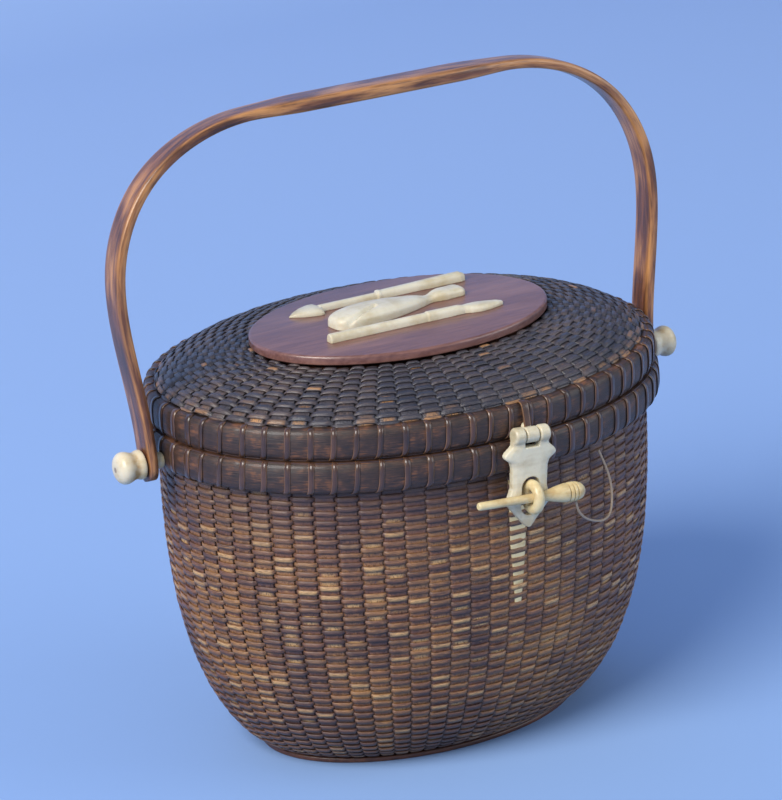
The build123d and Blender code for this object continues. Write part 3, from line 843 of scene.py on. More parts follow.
def hoop_wood(name, dark, brown, orange):
    """Dark varnished rim wood with long fine streaks and worn warmer patches."""
    paint = Paint(name)
    along = paint.attribute("along")
    across = paint.attribute("across")
    streak = paint.noise(paint.vector(along * 0.8, across * 9.0, 0.0), 1.6, 5.0, 0.7)
    patch = paint.noise(paint.vector(along * 0.9, across * 1.1, 4.0), 1.3, 3.0, 0.6)
    base = paint.mix((streak * 1.3 + patch * 0.9 - 0.75).rise(0.0, 0.8), dark, brown)
    worn = (streak * 0.8 + patch * 1.1 - 0.85).rise(0.12, 0.4)
    base = paint.mix(worn * 0.7, base, orange)
    base = paint.mix(streak.rise(0.45, 0.3) * 0.6, base, dark, "MULTIPLY")
    normal = paint.bump(streak, 0.3 * MM, 0.9)
    return paint.varnished(base, 0.34 + streak * 0.3, normal, 0.15, 0.12)


def bone(name, light, shade, rough, mark=None):
    """Polished bone: cream with faint streaks, fine pores and darker patches.

    A mark gives a knob's height, and the places of its end, which gets a dark dot, and of its
    stained waist.
    """
    paint = Paint(name)
    cloud = paint.noise(paint.object, 70.0, 4.0, 0.65)
    streak = paint.noise(paint.scaled(60.0, 200.0, 400.0), 1.0, 3.0, 0.6)
    base = paint.mix((cloud * 0.8 + streak * 0.35).rise(0.45, 0.8), light, shade)
    pores = paint.noise(paint.object, 1500.0, 2.0, 0.5).rise(0.66, 0.78)
    base = paint.mix(pores * 0.3, base, colour("8c7350"))
    if mark is not None:
        x, y, z = paint.object.parts()
        above = z - mark["height"]
        off_axis = (y * y + above * above) ** 0.5
        end = abs(x).rise(mark["end"] - 0.6 * MM, mark["end"] - 0.2 * MM)
        dot = (1 - off_axis.rise(0.9 * MM, 1.4 * MM)) * end
        base = paint.mix(dot * 0.7, base, colour("6a4a30"))
        waist = mark["waist"]
        inner = abs(x).rise(waist - 2 * MM, waist)
        band = inner * (1 - abs(x).rise(waist + 1.2 * MM, waist + 3 * MM))
        base = paint.mix(band * cloud.rise(0.4, 0.62) * 0.8, base, colour("b08448"))
    normal = paint.bump(streak + pores * -0.4, 0.05 * MM, 0.4)
    return paint.finish(
        base_color=base,
        roughness=rough + cloud * 0.15,
        normal=normal,
        subsurface_weight=0.1,
        subsurface_radius=(0.004, 0.0025, 0.0015),
        subsurface_scale=0.4,
        coat_weight=0.15,
        coat_roughness=0.2,
    )


def bent_wood(name, dark, brown, gold):
    """Bent and polished wood whose grain runs along the strip."""
    paint = Paint(name)
    along = paint.attribute("along")
    side = paint.attribute("across")
    deep = paint.attribute("lift")
    warp = paint.noise(paint.vector(along * 0.03, side * 0.1, deep * 0.1), 1.0, 2.0)
    grain = paint.vector(along * 0.025, side * 0.5 + warp * 2.0, deep * 0.5)
    lines = paint.noise(grain, 1.0, 5.0, 0.68)
    broad = paint.noise(paint.vector(along * 0.03, side * 0.12, deep * 0.2 + 7.0), 1.0, 3.0, 0.55)
    base = paint.mix((lines * 1.3 + broad * 0.6 - 0.55).rise(0.0, 0.8), dark, brown)
    base = paint.mix((broad * 1.2 + lines * 0.5 - 0.6).rise(0.15, 0.5) * 0.75, base, gold)
    pores = paint.noise(paint.vector(along * 0.12, side * 3.0, deep * 3.0), 1.0, 3.0).rise(0.55, 0.72)
    base = paint.mix(pores * 0.5, base, dark, "MULTIPLY")
    corner = abs(side).rise(4.4, 6.2) * abs(deep).rise(0.9, 2.0) * lines.rise(0.3, 0.6)
    base = paint.mix(corner * 0.5, base, gold)
    normal = paint.bump(lines - pores * 0.5, 0.12 * MM, 0.7)
    return paint.varnished(base, 0.26 + lines * 0.2, normal, 0.35, 0.15)


def board_wood(name, dark, mid, light, stretch, rough):
    """Planed and varnished wood with long grain and fine dark pores."""
    paint = Paint(name)
    warp = paint.noise(paint.scaled(6.0, 40.0, 40.0), 1.0, 2.0)
    grain = paint.noise(paint.scaled(*stretch) + warp * 1.2, 1.0, 4.0, 0.62)
    broad = paint.noise(paint.scaled(9.0, 50.0, 50.0), 1.0, 2.0)
    base = paint.mix((grain * 1.1 + broad * 0.5 - 0.4).rise(0.0, 0.85), dark, mid)
    base = paint.mix(broad.rise(0.5, 0.8) * 0.5, base, light)
    finer = paint.scaled(stretch[0] * 2.5, stretch[1] * 4, stretch[2] * 4)
    pores = paint.noise(finer, 1.0, 2.0).rise(0.6, 0.75)
    base = paint.mix(pores * 0.45, base, dark, "MULTIPLY")
    normal = paint.bump(grain - pores * 0.5, 0.08 * MM, 0.6)
    return paint.varnished(base, rough + grain * 0.15, normal, 0.3, 0.15)


def profile_length(wall):
    """Length of a wall's side curve, as its node tree measures it."""
    rim_a, rim_b, rim_z, foot_a, foot_b, foot_z, power, root = [wall[key] for key in WALL_SIZES[:8]]
    span = (rim_a - foot_a + rim_b - foot_b) / 2
    falls = 1 - (1 - np.linspace(0, 1, PROFILE_POINTS)) ** PROFILE_CROWDING
    x = np.maximum(1 - falls**power, 0) ** root * span
    z = rim_z + (foot_z - rim_z) * falls
    return float(np.hypot(np.diff(x), np.diff(z)).sum())


def body_wall(weave):
    """Inputs of the body's oval wall, from the rim's inner face down to the foot."""
    return {
        "Rim Half Length": WALL_HIGH.x,
        "Rim Half Width": WALL_HIGH.y,
        "Rim Height": RIM_LOW.z + RIM_TUCK,
        "Foot Half Length": FOOT_HIGH.x - BOARD_INSET,
        "Foot Half Width": FOOT_HIGH.y - BOARD_INSET,
        "Foot Height": WALL_LOW.z,
        "Power": BODY_POWER,
        "Root": BODY_ROOT,
        "Outward": 1.0,
        "Staves": weave.staves,
    }


def lid_wall(weave):
    """Inputs of the lid's dome, from inside its rim up to under the plaque's edge."""
    under = 1.5 * MM
    return {
        "Rim Half Length": LID_HIGH.x + RIM_TUCK,
        "Rim Half Width": LID_HIGH.y + RIM_TUCK,
        "Rim Height": LID_RIM_HIGH.z - RIM_TUCK,
        "Foot Half Length": PLAQUE_HIGH.x - under,
        "Foot Half Width": PLAQUE_HIGH.y - under,
        "Foot Height": LID_HIGH.z,
        "Power": DOME_POWER,
        "Root": 1 / DOME_POWER,
        "Outward": -1.0,
        "Staves": weave.staves,
    }


def weave_inputs(weave, wall, clearance):
    """A wall's inputs, and those that are worked out alike for the body's weave and the lid's."""
    return {
        **wall,
        "Fall Length": profile_length(wall),
        "Weave Depth": weave.stave_thickness / 2 + weave.weaver_thickness + clearance,
        "Swing": (weave.stave_thickness + weave.weaver_thickness) / 2,
        "Wander": 0.3 * MM,
    }


def lay_staves(name, weave, shared, steps, share, material):
    """Staves down a wall, of some rings each, that fill a share of the room there is for them."""
    values = {**shared, "Thickness": weave.stave_thickness, "Steps": steps, "Width Share": share}
    return grow(name, stave_rule(), values, material)


def size_setting(name, description, millimetres):
    """A setting that is a length."""
    return FloatProperty(name=name, description=description, default=millimetres * MM, unit="LENGTH")


def colour_setting(name, description, code):
    """A setting that is a colour, from its hex value."""
    return FloatVectorProperty(
        name=name, description=description, subtype="COLOR", size=3, default=colour(code)
    )


class WeaveSettings(bpy.types.PropertyGroup):
    """Sizes and colours of the weave"""

    staves: IntProperty(name="Staves", description="Staves round the oval, an odd number", default=67)
    row_pitch: size_setting("Row pitch", "Height of one row of the body", 2.06)
    lid_pitch: size_setting("Lid row pitch", "Width of one row of the lid", 2.3)
    weaver_width: size_setting("Weaver width", "Width of the body's weaver", 2.55)
    weaver_thickness: size_setting("Weaver thickness", "Thickness of a weaver", 0.7)
    stave_thickness: size_setting("Stave thickness", "Thickness of a stave", 0.9)
    dark: colour_setting("Dark stain", "Darkest cane", "4a3430")
    mid: colour_setting("Brown stain", "Usual cane", "85573c")
    warm: colour_setting("Warm stain", "Worn cane", "b0804a")
    tan: colour_setting("Bare cane", "Cane where the stain is gone", "c49a66")
    lid_dark: colour_setting("Lid stain", "Nearly black cane of the lid", "302e36")


class FittingSettings(bpy.types.PropertyGroup):
    """Sizes and colours of the handle and the bone work"""

    handle_rise: size_setting("Handle rise", "Height of the arch over its pins", 137)
    handle_spread: size_setting("Handle spread", "Widest distance across the arch", 253)
    handle_foot: size_setting("Foot distance", "Distance of a foot from the middle", 121.1)
    handle_width: size_setting("Handle width", "Width of the legs", 13)
    handle_thickness: size_setting("Handle thickness", "Thickness of the legs", 4.6)
    grip_width: size_setting("Grip width", "Width at the top", 15.6)
    grip_thickness: size_setting("Grip thickness", "Thickness at the top", 6.2)
    handle_lean: FloatProperty(
        name="Handle lean", description="How far the handle leans back", default=radians(3.6),
        unit="ROTATION",
    )
    bone_light: colour_setting("Bone", "Clean bone", "d6ceb8")
    bone_shade: colour_setting("Aged bone", "Bone in its hollows", "bcad8a")
    wood_dark: colour_setting("Dark wood", "Dark streaks of the handle", "2e1810")
    wood_brown: colour_setting("Brown wood", "Handle wood", "8e5632")
    wood_gold: colour_setting("Golden wood", "Worn handle wood", "c48a50")


class StageSettings(bpy.types.PropertyGroup):
    """Floor and light"""

    floor_colour: colour_setting("Floor", "Colour of the floor and backdrop", "a3bde6")
    key_power: FloatProperty(name="Key light", description="Watts of the main light", default=92.0)
    fill_power: FloatProperty(name="Fill light", description="Watts of the fill light", default=9.0)


class PurseOperator(bpy.types.Operator):
    """What the purse's operators share"""

    bl_options = {"REGISTER", "UNDO"}


def strap_of(name, points, half_width, half_thickness, steps=24):
    """Flat strip along a few points, its width along X, all in millimetres."""
    squareness, sides, grain_scale = 0.5, 16, 0.1
    path = smooth(points, steps)
    ways = np.gradient(path, axis=0)
    rings = []
    numbers = {"along": [], "across": [], "lift": []}
    for place, way in zip(path, ways):
        way = Vector(way).normalized()
        over = Vector((1, 0, 0)).cross(way).normalized()
        ring = []
        for a, b in rounded_box(half_width, half_thickness, squareness, sides):
            ring.append((Vector(place) + Vector((a, 0, 0)) + over * b) * MM)
            numbers["along"].append(place[2] * grain_scale)
            numbers["across"].append(a / half_width)
            numbers["lift"].append(1.0)
        rings.append(ring)
    return skin(name, rings, **numbers)


def oval_board(name, low, high, edge):
    """Oval board with a rounded upper edge and a smaller slanted lower one, filling a box."""
    sides, edge_step = 120, 15
    lower_edge = 0.4 * edge
    middle = (low + high) / 2
    half = (high - low) / 2
    steps = [radians(edge_step * i) for i in range(90 // edge_step + 1)]
    levels = [(low.z, lower_edge), (low.z + lower_edge, 0.0)]
    levels += [(high.z - edge * (1 - sin(step)), edge * (1 - cos(step))) for step in steps]
    angles = round_angles(sides)
    rings = []
    for z, inset in levels:
        a, b = half.x - inset, half.y - inset
        rings.append([(middle.x + a * cos(t), middle.y + b * sin(t), z) for t in angles])
    return skin(name, rings)


class PURSE_OT_body_weave(PurseOperator):
    """Weave the body's wall over its staves"""

    bl_idname = "purse.body_weave"
    bl_label = "Body weave"

    def execute(self, context):
        weave = context.scene.purse_weave
        shared = weave_inputs(weave, body_wall(weave), 0.05 * MM)
        tones = (weave.dark, weave.mid, weave.warm, weave.tan)
        foot, rim = FOOT_LOW.z, RIM_LOW.z
        # Heights of the painted shade that darkens the body's cane towards its foot and up under its
        # rim
        shade_heights = (foot + 12 * MM, foot + 50 * MM, rim - 34 * MM, rim - 4 * MM)
        material = cane("Body cane", tones, 0.16, 0.32, shade_heights=shade_heights)
        staves = lay_staves("body_staves", weave, shared, 44, 0.9, material)
        settle(staves, "basket", "cane_weave", "body_weave")
        rule = weaver_rule()
        rows = int(shared["Fall Length"] / weave.row_pitch)
        # Four bands keep each piece under the limit of triangles
        bands = 4
        for band in range(bands):
            first = rows * band // bands
            last = rows * (band + 1) // bands
            values = {
                **shared,
                "Steps per Stave": 10,
                "First Turn": float(first),
                "Turns": last - first + 1 / weave.staves,
                "Row Pitch": weave.row_pitch,
                "Width": weave.weaver_width,
                "Thickness": weave.weaver_thickness,
                "Firmness": 3.2,
                "Seed": 5,
            }
            piece = grow(f"body_weavers_{band + 1}", rule, values, material)
            settle(piece, "basket", "cane_weave")
        return {"FINISHED"}


class PURSE_OT_lid_weave(PurseOperator):
    """Weave the lid's dome over its staves"""

    bl_idname = "purse.lid_weave"
    bl_label = "Lid weave"

    def execute(self, context):
        weave = context.scene.purse_weave
        shared = weave_inputs(weave, lid_wall(weave), 0.0)
        rim_z = shared["Rim Height"]
        tones = (weave.lid_dark, *colours("4c484e", "64524a", "b08050"))
        material = cane("Lid cane", tones, 0.03, 0.22, rim_z + 1 * MM, rim_z + 6 * MM)
        staves = lay_staves("lid_staves", weave, shared, 24, 0.8, material)
        settle(staves, "lid", "dark_cane_weave", "lid_weave")
        values = {
            **shared,
            "Steps per Stave": 8,
            "First Turn": 0.0,
            "Turns": shared["Fall Length"] / weave.lid_pitch - 1,
            "Row Pitch": weave.lid_pitch,
            "Width": weave.lid_pitch * 1.25,
            "Thickness": weave.weaver_thickness,
            "Firmness": 2.6,
            "Seed": 9,
        }
        piece = grow("lid_weavers", weaver_rule(), values, material)
        settle(piece, "lid", "dark_cane_weave")
        return {"FINISHED"}


class PURSE_OT_rims(PurseOperator):
    """Bend the two outer hoops and bind them"""

    bl_idname = "purse.rims"
    bl_label = "Rims and bindings"

    def execute(self, context):
        weave = context.scene.purse_weave
        wood = hoop_wood("Rim wood", *colours("241a15", "503526", "80502c"))
        # The binding's third colour is that of the painted highlights along the strips' edges
        strip = binding_cane("Binding cane", *colours("281a14", "563826", "a87a4e"))
        hoop_tree = hoop_rule()
        binding_tree = binding_rule()
        seam = (RIM_HIGH.z + LID_RIM_LOW.z) / 2
        half_gap = 0.25 * MM
        rims = {
            "body": ("basket", WALL_HIGH, RIM_HIGH, RIM_LOW.z, seam - half_gap, "body_rim_outer"),
            "lid": ("lid", LID_HIGH, LID_RIM_HIGH, seam + half_gap, LID_RIM_HIGH.z, "lid_rim_outer"),
        }
        for name, (body, inner, outer, low, high, node) in rims.items():
            shape = {
                "Half Length": inner.x,
                "Half Width": inner.y,
                "Height": (low + high) / 2,
                "Hoop Thickness": outer.x - inner.x,
                "Hoop Height": high - low,
                "Bindings": weave.staves,
            }
            values = {**shape, "Steps per Binding": 10, "Draw": 0.25 * MM}
            hoop = grow(f"{name}_hoop", hoop_tree, values, wood)
            settle(hoop, body, "rim_wood", node)
            values = {
                **shape,
                "Steps": 22,
                "Width": 3.0 * MM,
                "Thickness": 0.45 * MM,
                "Slant": -0.22,
                "Reach": radians(180),
                "Seed": 21,
            }
            bindings = grow(f"{name}_bindings", binding_tree, values, strip)
            settle(bindings, body, "rim_cane")
        inner_tones = colours("2a1c16", "5a3c2c", "7a5238")
        inside = board_wood("Inner rim wood", *inner_tones, (300.0, 300.0, 900.0), 0.35)
        dress(inside, "body_rim_inner", "lid_rim_inner", "body_rim_cap", "lid_rim_cap")
        route = [
            (6.9, -85.0, 164.0), (6.9, -87.4, 165.7), (6.8, -89.9, 165.0), (6.7, -91.0, 162.4),
            (6.5, -92.4, 156.4),
        ]
        settle(strap_of("cane_tie", route, 1.6, 0.4), "lid", "tie_cane", "hasp_tie", material=strip)
        return {"FINISHED"}


class PURSE_OT_boards(PurseOperator):
    """Finish the base, the plaque and the board inside the lid"""

    bl_idname = "purse.boards"
    bl_label = "Boards"

    def execute(self, context):
        grain = (60.0, 700.0, 700.0)
        red_tones = colours("5c3a34", "8a6156", "a07666")
        brown_tones = colours("3a2018", "6e4028", "8a5634")
        plaque_wood = board_wood("Plaque wood", *red_tones, grain, 0.26)
        base_wood = board_wood("Base wood", *brown_tones, grain, 0.4)
        plaque = oval_board("plaque_board", PLAQUE_LOW, PLAQUE_HIGH, 1.2 * MM)
        settle(plaque, "lid", "plaque_wood", "lid_plaque", material=plaque_wood)
        dress(base_wood, "base_plate", "lid_board")
        return {"FINISHED"}


class PURSE_OT_carvings(PurseOperator):
    """Carve the whale, the harpoon and the lance"""

    bl_idname = "purse.carvings"
    bl_label = "Carvings"

    def execute(self, context):
        fittings = context.scene.purse_fittings
        carving_bone = bone("Carved bone", fittings.bone_light, fittings.bone_shade, 0.34)
        for shape in (self.whale, self.harpoon, self.lance):
            settle(shape(), "lid", "carving_bone", f"carved_{shape.__name__}", material=carving_bone)
        return {"FINISHED"}

    def place(self, x, y, turn=0.0):
        """A frame on top of the plaque."""
        spot = Matrix.Translation((x * MM, y * MM, PLAQUE_HIGH.z))
        return spot @ Matrix.Rotation(radians(turn), 4, "Z")

    def whale(self):
        """Blunt head with a cut jaw line, a body that thins to its tail, flukes and one fin."""
        at = self.place(1.6, 4.0, 8.0)
        body = [
            (-34.0, 2.2, 2.6), (-33.2, 4.6, 4.4), (-30.0, 6.9, 5.6), (-24.0, 8.3, 6.3),
            (-15.0, 8.7, 6.4), (-5.0, 7.9, 5.8), (5.0, 6.0, 4.7), (12.0, 4.2, 3.6), (17.0, 3.0, 2.8),
            (19.5, 3.4, 3.6), (23.0, 4.3, 4.1), (29.0, 4.7, 3.8), (33.0, 4.5, 3.4), (34.0, 3.4, 2.8),
        ]

        def jaw(x, side):
            """Depth of the cut, which climbs the flank from the snout backwards."""
            deep, wide, snout, corner = 1.5, 0.09, -31, -12
            line = -0.95 + 0.7 * min(max((x + 30) / 17, 0), 1)
            return deep * np.exp(-(((side - line) / wide) ** 2)) * (snout < x < corner)

        flank = at @ Matrix.Translation((-12.0 * MM, -2.4 * MM, 3.4 * MM))
        fin = [(-1.6, 0.4, 1.0), (0, 1.2, 2.9), (1.6, 1.0, 2.5), (3.0, 0.4, 1.0)]
        parts = [lying("whale", body, 0.42, at, 110, 48, jaw), lying("fin", fin, 0.6, flank, 24)]
        return carved(joined("whale_carving", parts), 0.3 * MM, 3)

    def harpoon(self):
        """Leaf-shaped head, a thin iron and a thicker shaft behind a collar."""
        stations = [
            (-40.0, 0.2, 0.5), (-37.6, 2.0, 1.8), (-34.0, 3.9, 2.7), (-29.5, 5.4, 3.1),
            (-27.0, 5.9, 2.9), (-25.6, 5.6, 2.2), (-25.2, 1.7, 2.9), (-10.0, 1.55, 2.9),
            (2.0, 1.6, 2.9), (2.4, 2.5, 3.7), (3.6, 2.5, 3.8), (4.1, 2.25, 3.5), (20.0, 2.4, 3.7),
            (38.0, 2.7, 4.1), (43.0, 2.7, 4.1), (45.2, 1.9, 3.1), (46.0, 0.5, 1.2),
        ]
        shaft = lying("harpoon", stations, 0.6, self.place(0, 23.5))
        return carved(joined("harpoon_carving", [shaft]), 0.25 * MM, 2)

    def lance(self):
        """Plain shaft with a long oval head."""
        stations = [
            (-42.0, 1.8, 3.4), (-41.4, 2.2, 3.7), (4.4, 2.1, 3.6), (5.0, 2.4, 4.0), (20.0, 2.2, 3.8),
            (22.5, 2.0, 3.3), (25.5, 3.4, 3.2), (29.5, 4.2, 3.0), (34.0, 3.8, 2.6), (39.0, 2.4, 2.2),
            (41.4, 1.2, 1.6), (42.0, 0.4, 0.9),
        ]
        shaft = lying("lance", stations, 0.6, self.place(0, -15.5))
        return carved(joined("lance_carving", [shaft]), 0.25 * MM, 2)


class PURSE_OT_latch(PurseOperator):
    """Carve the hasp, the leaf that carries it, the staple and the peg"""

    bl_idname = "purse.latch"
    bl_label = "Hasp, staple and peg"

    def execute(self, context):
        plate_bone = bone("Hasp bone", *colours("d6ccb0", "b4a482"), 0.3)
        peg_bone = bone("Turned bone", *colours("d8c494", "b0905a"), 0.3)
        settle(self.hasp(), "hasp", "bone", "hasp", material=plate_bone)
        settle(self.leaf(), "lid", "bone", "hasp_leaf", material=plate_bone)
        settle(self.staple(), "basket", "bone", "staple", material=peg_bone)
        settle(self.peg(), "peg", "peg_bone", "peg", material=peg_bone)
        dress(plate_bone, "hinge_leaf_body")
        settle(self.short_leaf(), "lid", "bone", "hinge_leaf_lid", material=plate_bone)
        return {"FINISHED"}

    def short_leaf(self):
        """The lid's hinge leaf, drawn down until it stays below the hoop's top."""
        mesh = frame["nodes"]["hinge_leaf_lid"].data.copy()
        work = bmesh.new()
        work.from_mesh(mesh)
        bmesh.ops.remove_doubles(work, verts=work.verts, dist=0.001 * MM)
        knee, share_left = 157 * MM, 0.45
        for vertex in work.verts:
            if vertex.co.z > knee:
                vertex.co.z = knee + (vertex.co.z - knee) * share_left
        work.to_mesh(mesh)
        work.free()
        return link("short_hinge_leaf", mesh)

    def hasp(self):
        """Plate with winged shoulders, two ears round the pin and a slot for the staple's ring."""
        # Heights and half widths down its outline
        edge = [
            (0.6, 8.2), (-4.2, 8.5), (-6.8, 11.4), (-8.2, 12.2), (-9.3, 11.7), (-11.2, 9.1),
            (-13.4, 8.3), (-22.3, 8.2), (-26.2, 9.5), (-28.4, 10.3), (-29.4, 10.0), (-38.6, 1.8),
            (-39.3, 0.9),
        ]
        back, shoulder, arrow = 1.9, 0.9, -26.0
        rings = []
        for z in np.linspace(edge[0][0], edge[-1][0], 100):
            half = np.interp(-z, [-down for down, _ in edge], [wide for _, wide in edge])
            front = -2.2 + 0.5 * min(max((arrow - z) / 4.0, 0), 1)
            side = front + 1.3
            right = [(half, back), (half, side), (half * 0.8, side - shoulder), (half * 0.5, front)]
            section = [(-half, back), *right, *[(-x, y) for x, y in right[:0:-1]]]
            rings.append(placed(LATCH, [(x, y, z) for x, y in section]))
        parts = [skin("plate", rings)]
        ear = [(3.4, 0.0), (3.4, 3.0), (4.0, 3.6), (7.4, 3.6), (8.2, 2.9), (8.2, 0.0)]
        parts += [turned("ear", [(x * way, r) for x, r in ear], LATCH) for way in (-1, 1)]
        # The notch takes the leaf's knuckle, and the slot the staple's ring
        notch = self.block("notch", (-3.4, -5.0, -4.8), (3.4, 5.0, 5.0), 0.0)
        slot = self.block("slot", (-4.25, -5.0, -34.05), (4.25, 5.0, -17.55), 4.2)
        return carved(joined("hasp_plate", parts), 0.3 * MM, 3, notch, slot)

    def block(self, name, low, high, corner):
        """Upright block through the plate, with rounded corners in its outline."""
        half_x = (high[0] - low[0]) / 2
        half_z = (high[2] - low[2]) / 2
        middle = Vector(((high[0] + low[0]) / 2, 0, (high[2] + low[2]) / 2))
        count = 48
        pairs = []
        for i in range(count):
            angle = 2 * pi * (i + 0.5) / count
            a = (half_x - corner) * np.sign(cos(angle)) + corner * cos(angle)
            b = (half_z - corner) * np.sign(sin(angle)) + corner * sin(angle)
            pairs.append((a, b))
        ends = [[middle + Vector((a, y, b)) for a, b in pairs] for y in (low[1], high[1])]
        return skin(name, [placed(LATCH, end) for end in ends])

    def leaf(self):
        """Knuckle between the hasp's ears and a short tab that the cane tie holds."""
        outline = [(-3.0, 0), (-3.0, 2.8), (-2.5, 3.3), (2.5, 3.3), (3.0, 2.8), (3.0, 0)]
        parts = [turned("knuckle", outline, LATCH)]
        inwards, half_thickness, squareness, sides = 3.6, 1.1, 0.5, 20
        rings = []
        for z, half in ((-1.0, 2.2), (1.2, 2.2), (2.8, 2.1), (3.6, 1.7), (4.0, 1.0)):
            pairs = rounded_box(half, half_thickness, squareness, sides)
            rings.append(placed(LATCH, [(a, inwards + b, z) for a, b in pairs]))
        parts.append(skin("tab", rings))
        return carved(joined("hasp_hanger", parts), 0.25 * MM, 2)

    def staple(self):
        """Ring on a shank, and a tang that lies in the weave."""
        ring, section, shank_start, shank_end = 5.0, 2.3, 5.0, 14.0
        squareness, sides, ring_steps = 0.45, 20, 48
        angles = round_angles(sides)
        rings = []
        for turn in round_angles(ring_steps):
            out = Vector((0, cos(turn), sin(turn)))
            loop = []
            for angle in angles:
                aside = Vector((section * sin(angle), 0, 0))
                loop.append(out * (ring + section * cos(angle)) + aside)
            rings.append(placed(RING, loop))
        parts = [skin("ring", rings, loop=True)]
        rings = []
        for y in np.linspace(shank_start, shank_end, 8):
            rings.append(placed(RING, [(section * sin(t), y, section * cos(t)) for t in angles]))
        parts.append(skin("shank", rings))
        centre = RING.translation
        top, tip = centre.z + 5.9 * MM, centre.z - 52 * MM
        tip_half, full_half, half_thickness = 1.5, 3.8, 0.8
        rings = []
        for z in np.linspace(top, tip, 40):
            share = (z - tip) / (top - tip)
            half = tip_half + (full_half - tip_half) * min(1.0, share * 2)
            sunk = (0.28 + 0.2 * share * share) * MM
            y = wall_front(z) + sunk + half_thickness * MM
            pairs = rounded_box(half, half_thickness, squareness, sides)
            rings.append([(centre.x + a * MM, y + b * MM, z) for a, b in pairs])
        parts.append(skin("tang", rings))
        return joined_smooth("staple_bone", parts)

    def peg(self):
        """Tapered peg with a grooved head, along the hasp's pin direction."""
        outline = [
            (-26.5, 0), (-26.5, 1.2), (-26.2, 1.55), (-25.5, 1.7), (-10, 1.8), (0, 1.9), (5.6, 2.05),
            (6.6, 2.4), (9, 3.0), (12, 3.6), (14.6, 4.0), (15.2, 3.95), (15.6, 3.3), (16.0, 3.95),
            (17.0, 4.15), (17.4, 3.4), (17.8, 4.1), (18.8, 4.1), (19.2, 3.4), (19.6, 4.0), (20.6, 3.8),
            (22, 3.3), (23.2, 2.2), (23.75, 1.0), (23.75, 0),
        ]
        return turned("locking_peg", outline, PEG)


class PURSE_OT_cord(PurseOperator):
    """Hang the peg's cord"""

    bl_idname = "purse.cord"
    bl_label = "Peg cord"

    def execute(self, context):
        route = [
            (23.9, -99.4, 121.9), (24.6, -99.2, 117.6), (29.0, -97.2, 112.6), (36.0, -92.6, 108.2),
            (43.4, -88.6, 105.2), (49.6, -84.2, 105.4), (53.0, -80.6, 110.6), (53.2, -79.4, 118.2),
            (50.6, -79.4, 126.4), (47.6, -79.6, 133.0),
        ]
        diameter = 1.0 * MM
        line = bpy.data.curves.new("peg_cord_line", "CURVE")
        line.dimensions = "3D"
        line.resolution_u = 16
        spline = line.splines.new("NURBS")
        spline.points.add(len(route) - 1)
        for point, place in zip(spline.points, route):
            point.co = (*(Vector(place) * MM), 1.0)
        spline.order_u = 3
        spline.use_endpoint_u = True
        guide = link("peg_cord_line", line)
        path = [tuple(vertex.co) for vertex in baked(guide).vertices]
        line.bevel_depth = diameter / 2
        line.bevel_resolution = 3
        line.use_fill_caps = True
        cord = link("peg_cord_strand", baked(guide))
        bpy.data.objects.remove(guide)
        point_outwards(cord.data)
        cord.data.shade_smooth()
        paint = Paint("Cord")
        twist = paint.noise(paint.object, 900.0, 2.0)
        base = paint.mix(twist, *colours("8a7460", "b49e84"))
        normal = paint.bump(twist, 0.1 * MM, 0.6)
        coat(cord, paint.finish(base_color=base, roughness=0.6, normal=normal))
        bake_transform(cord)
        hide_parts("peg_cord")
        return {"FINISHED"}


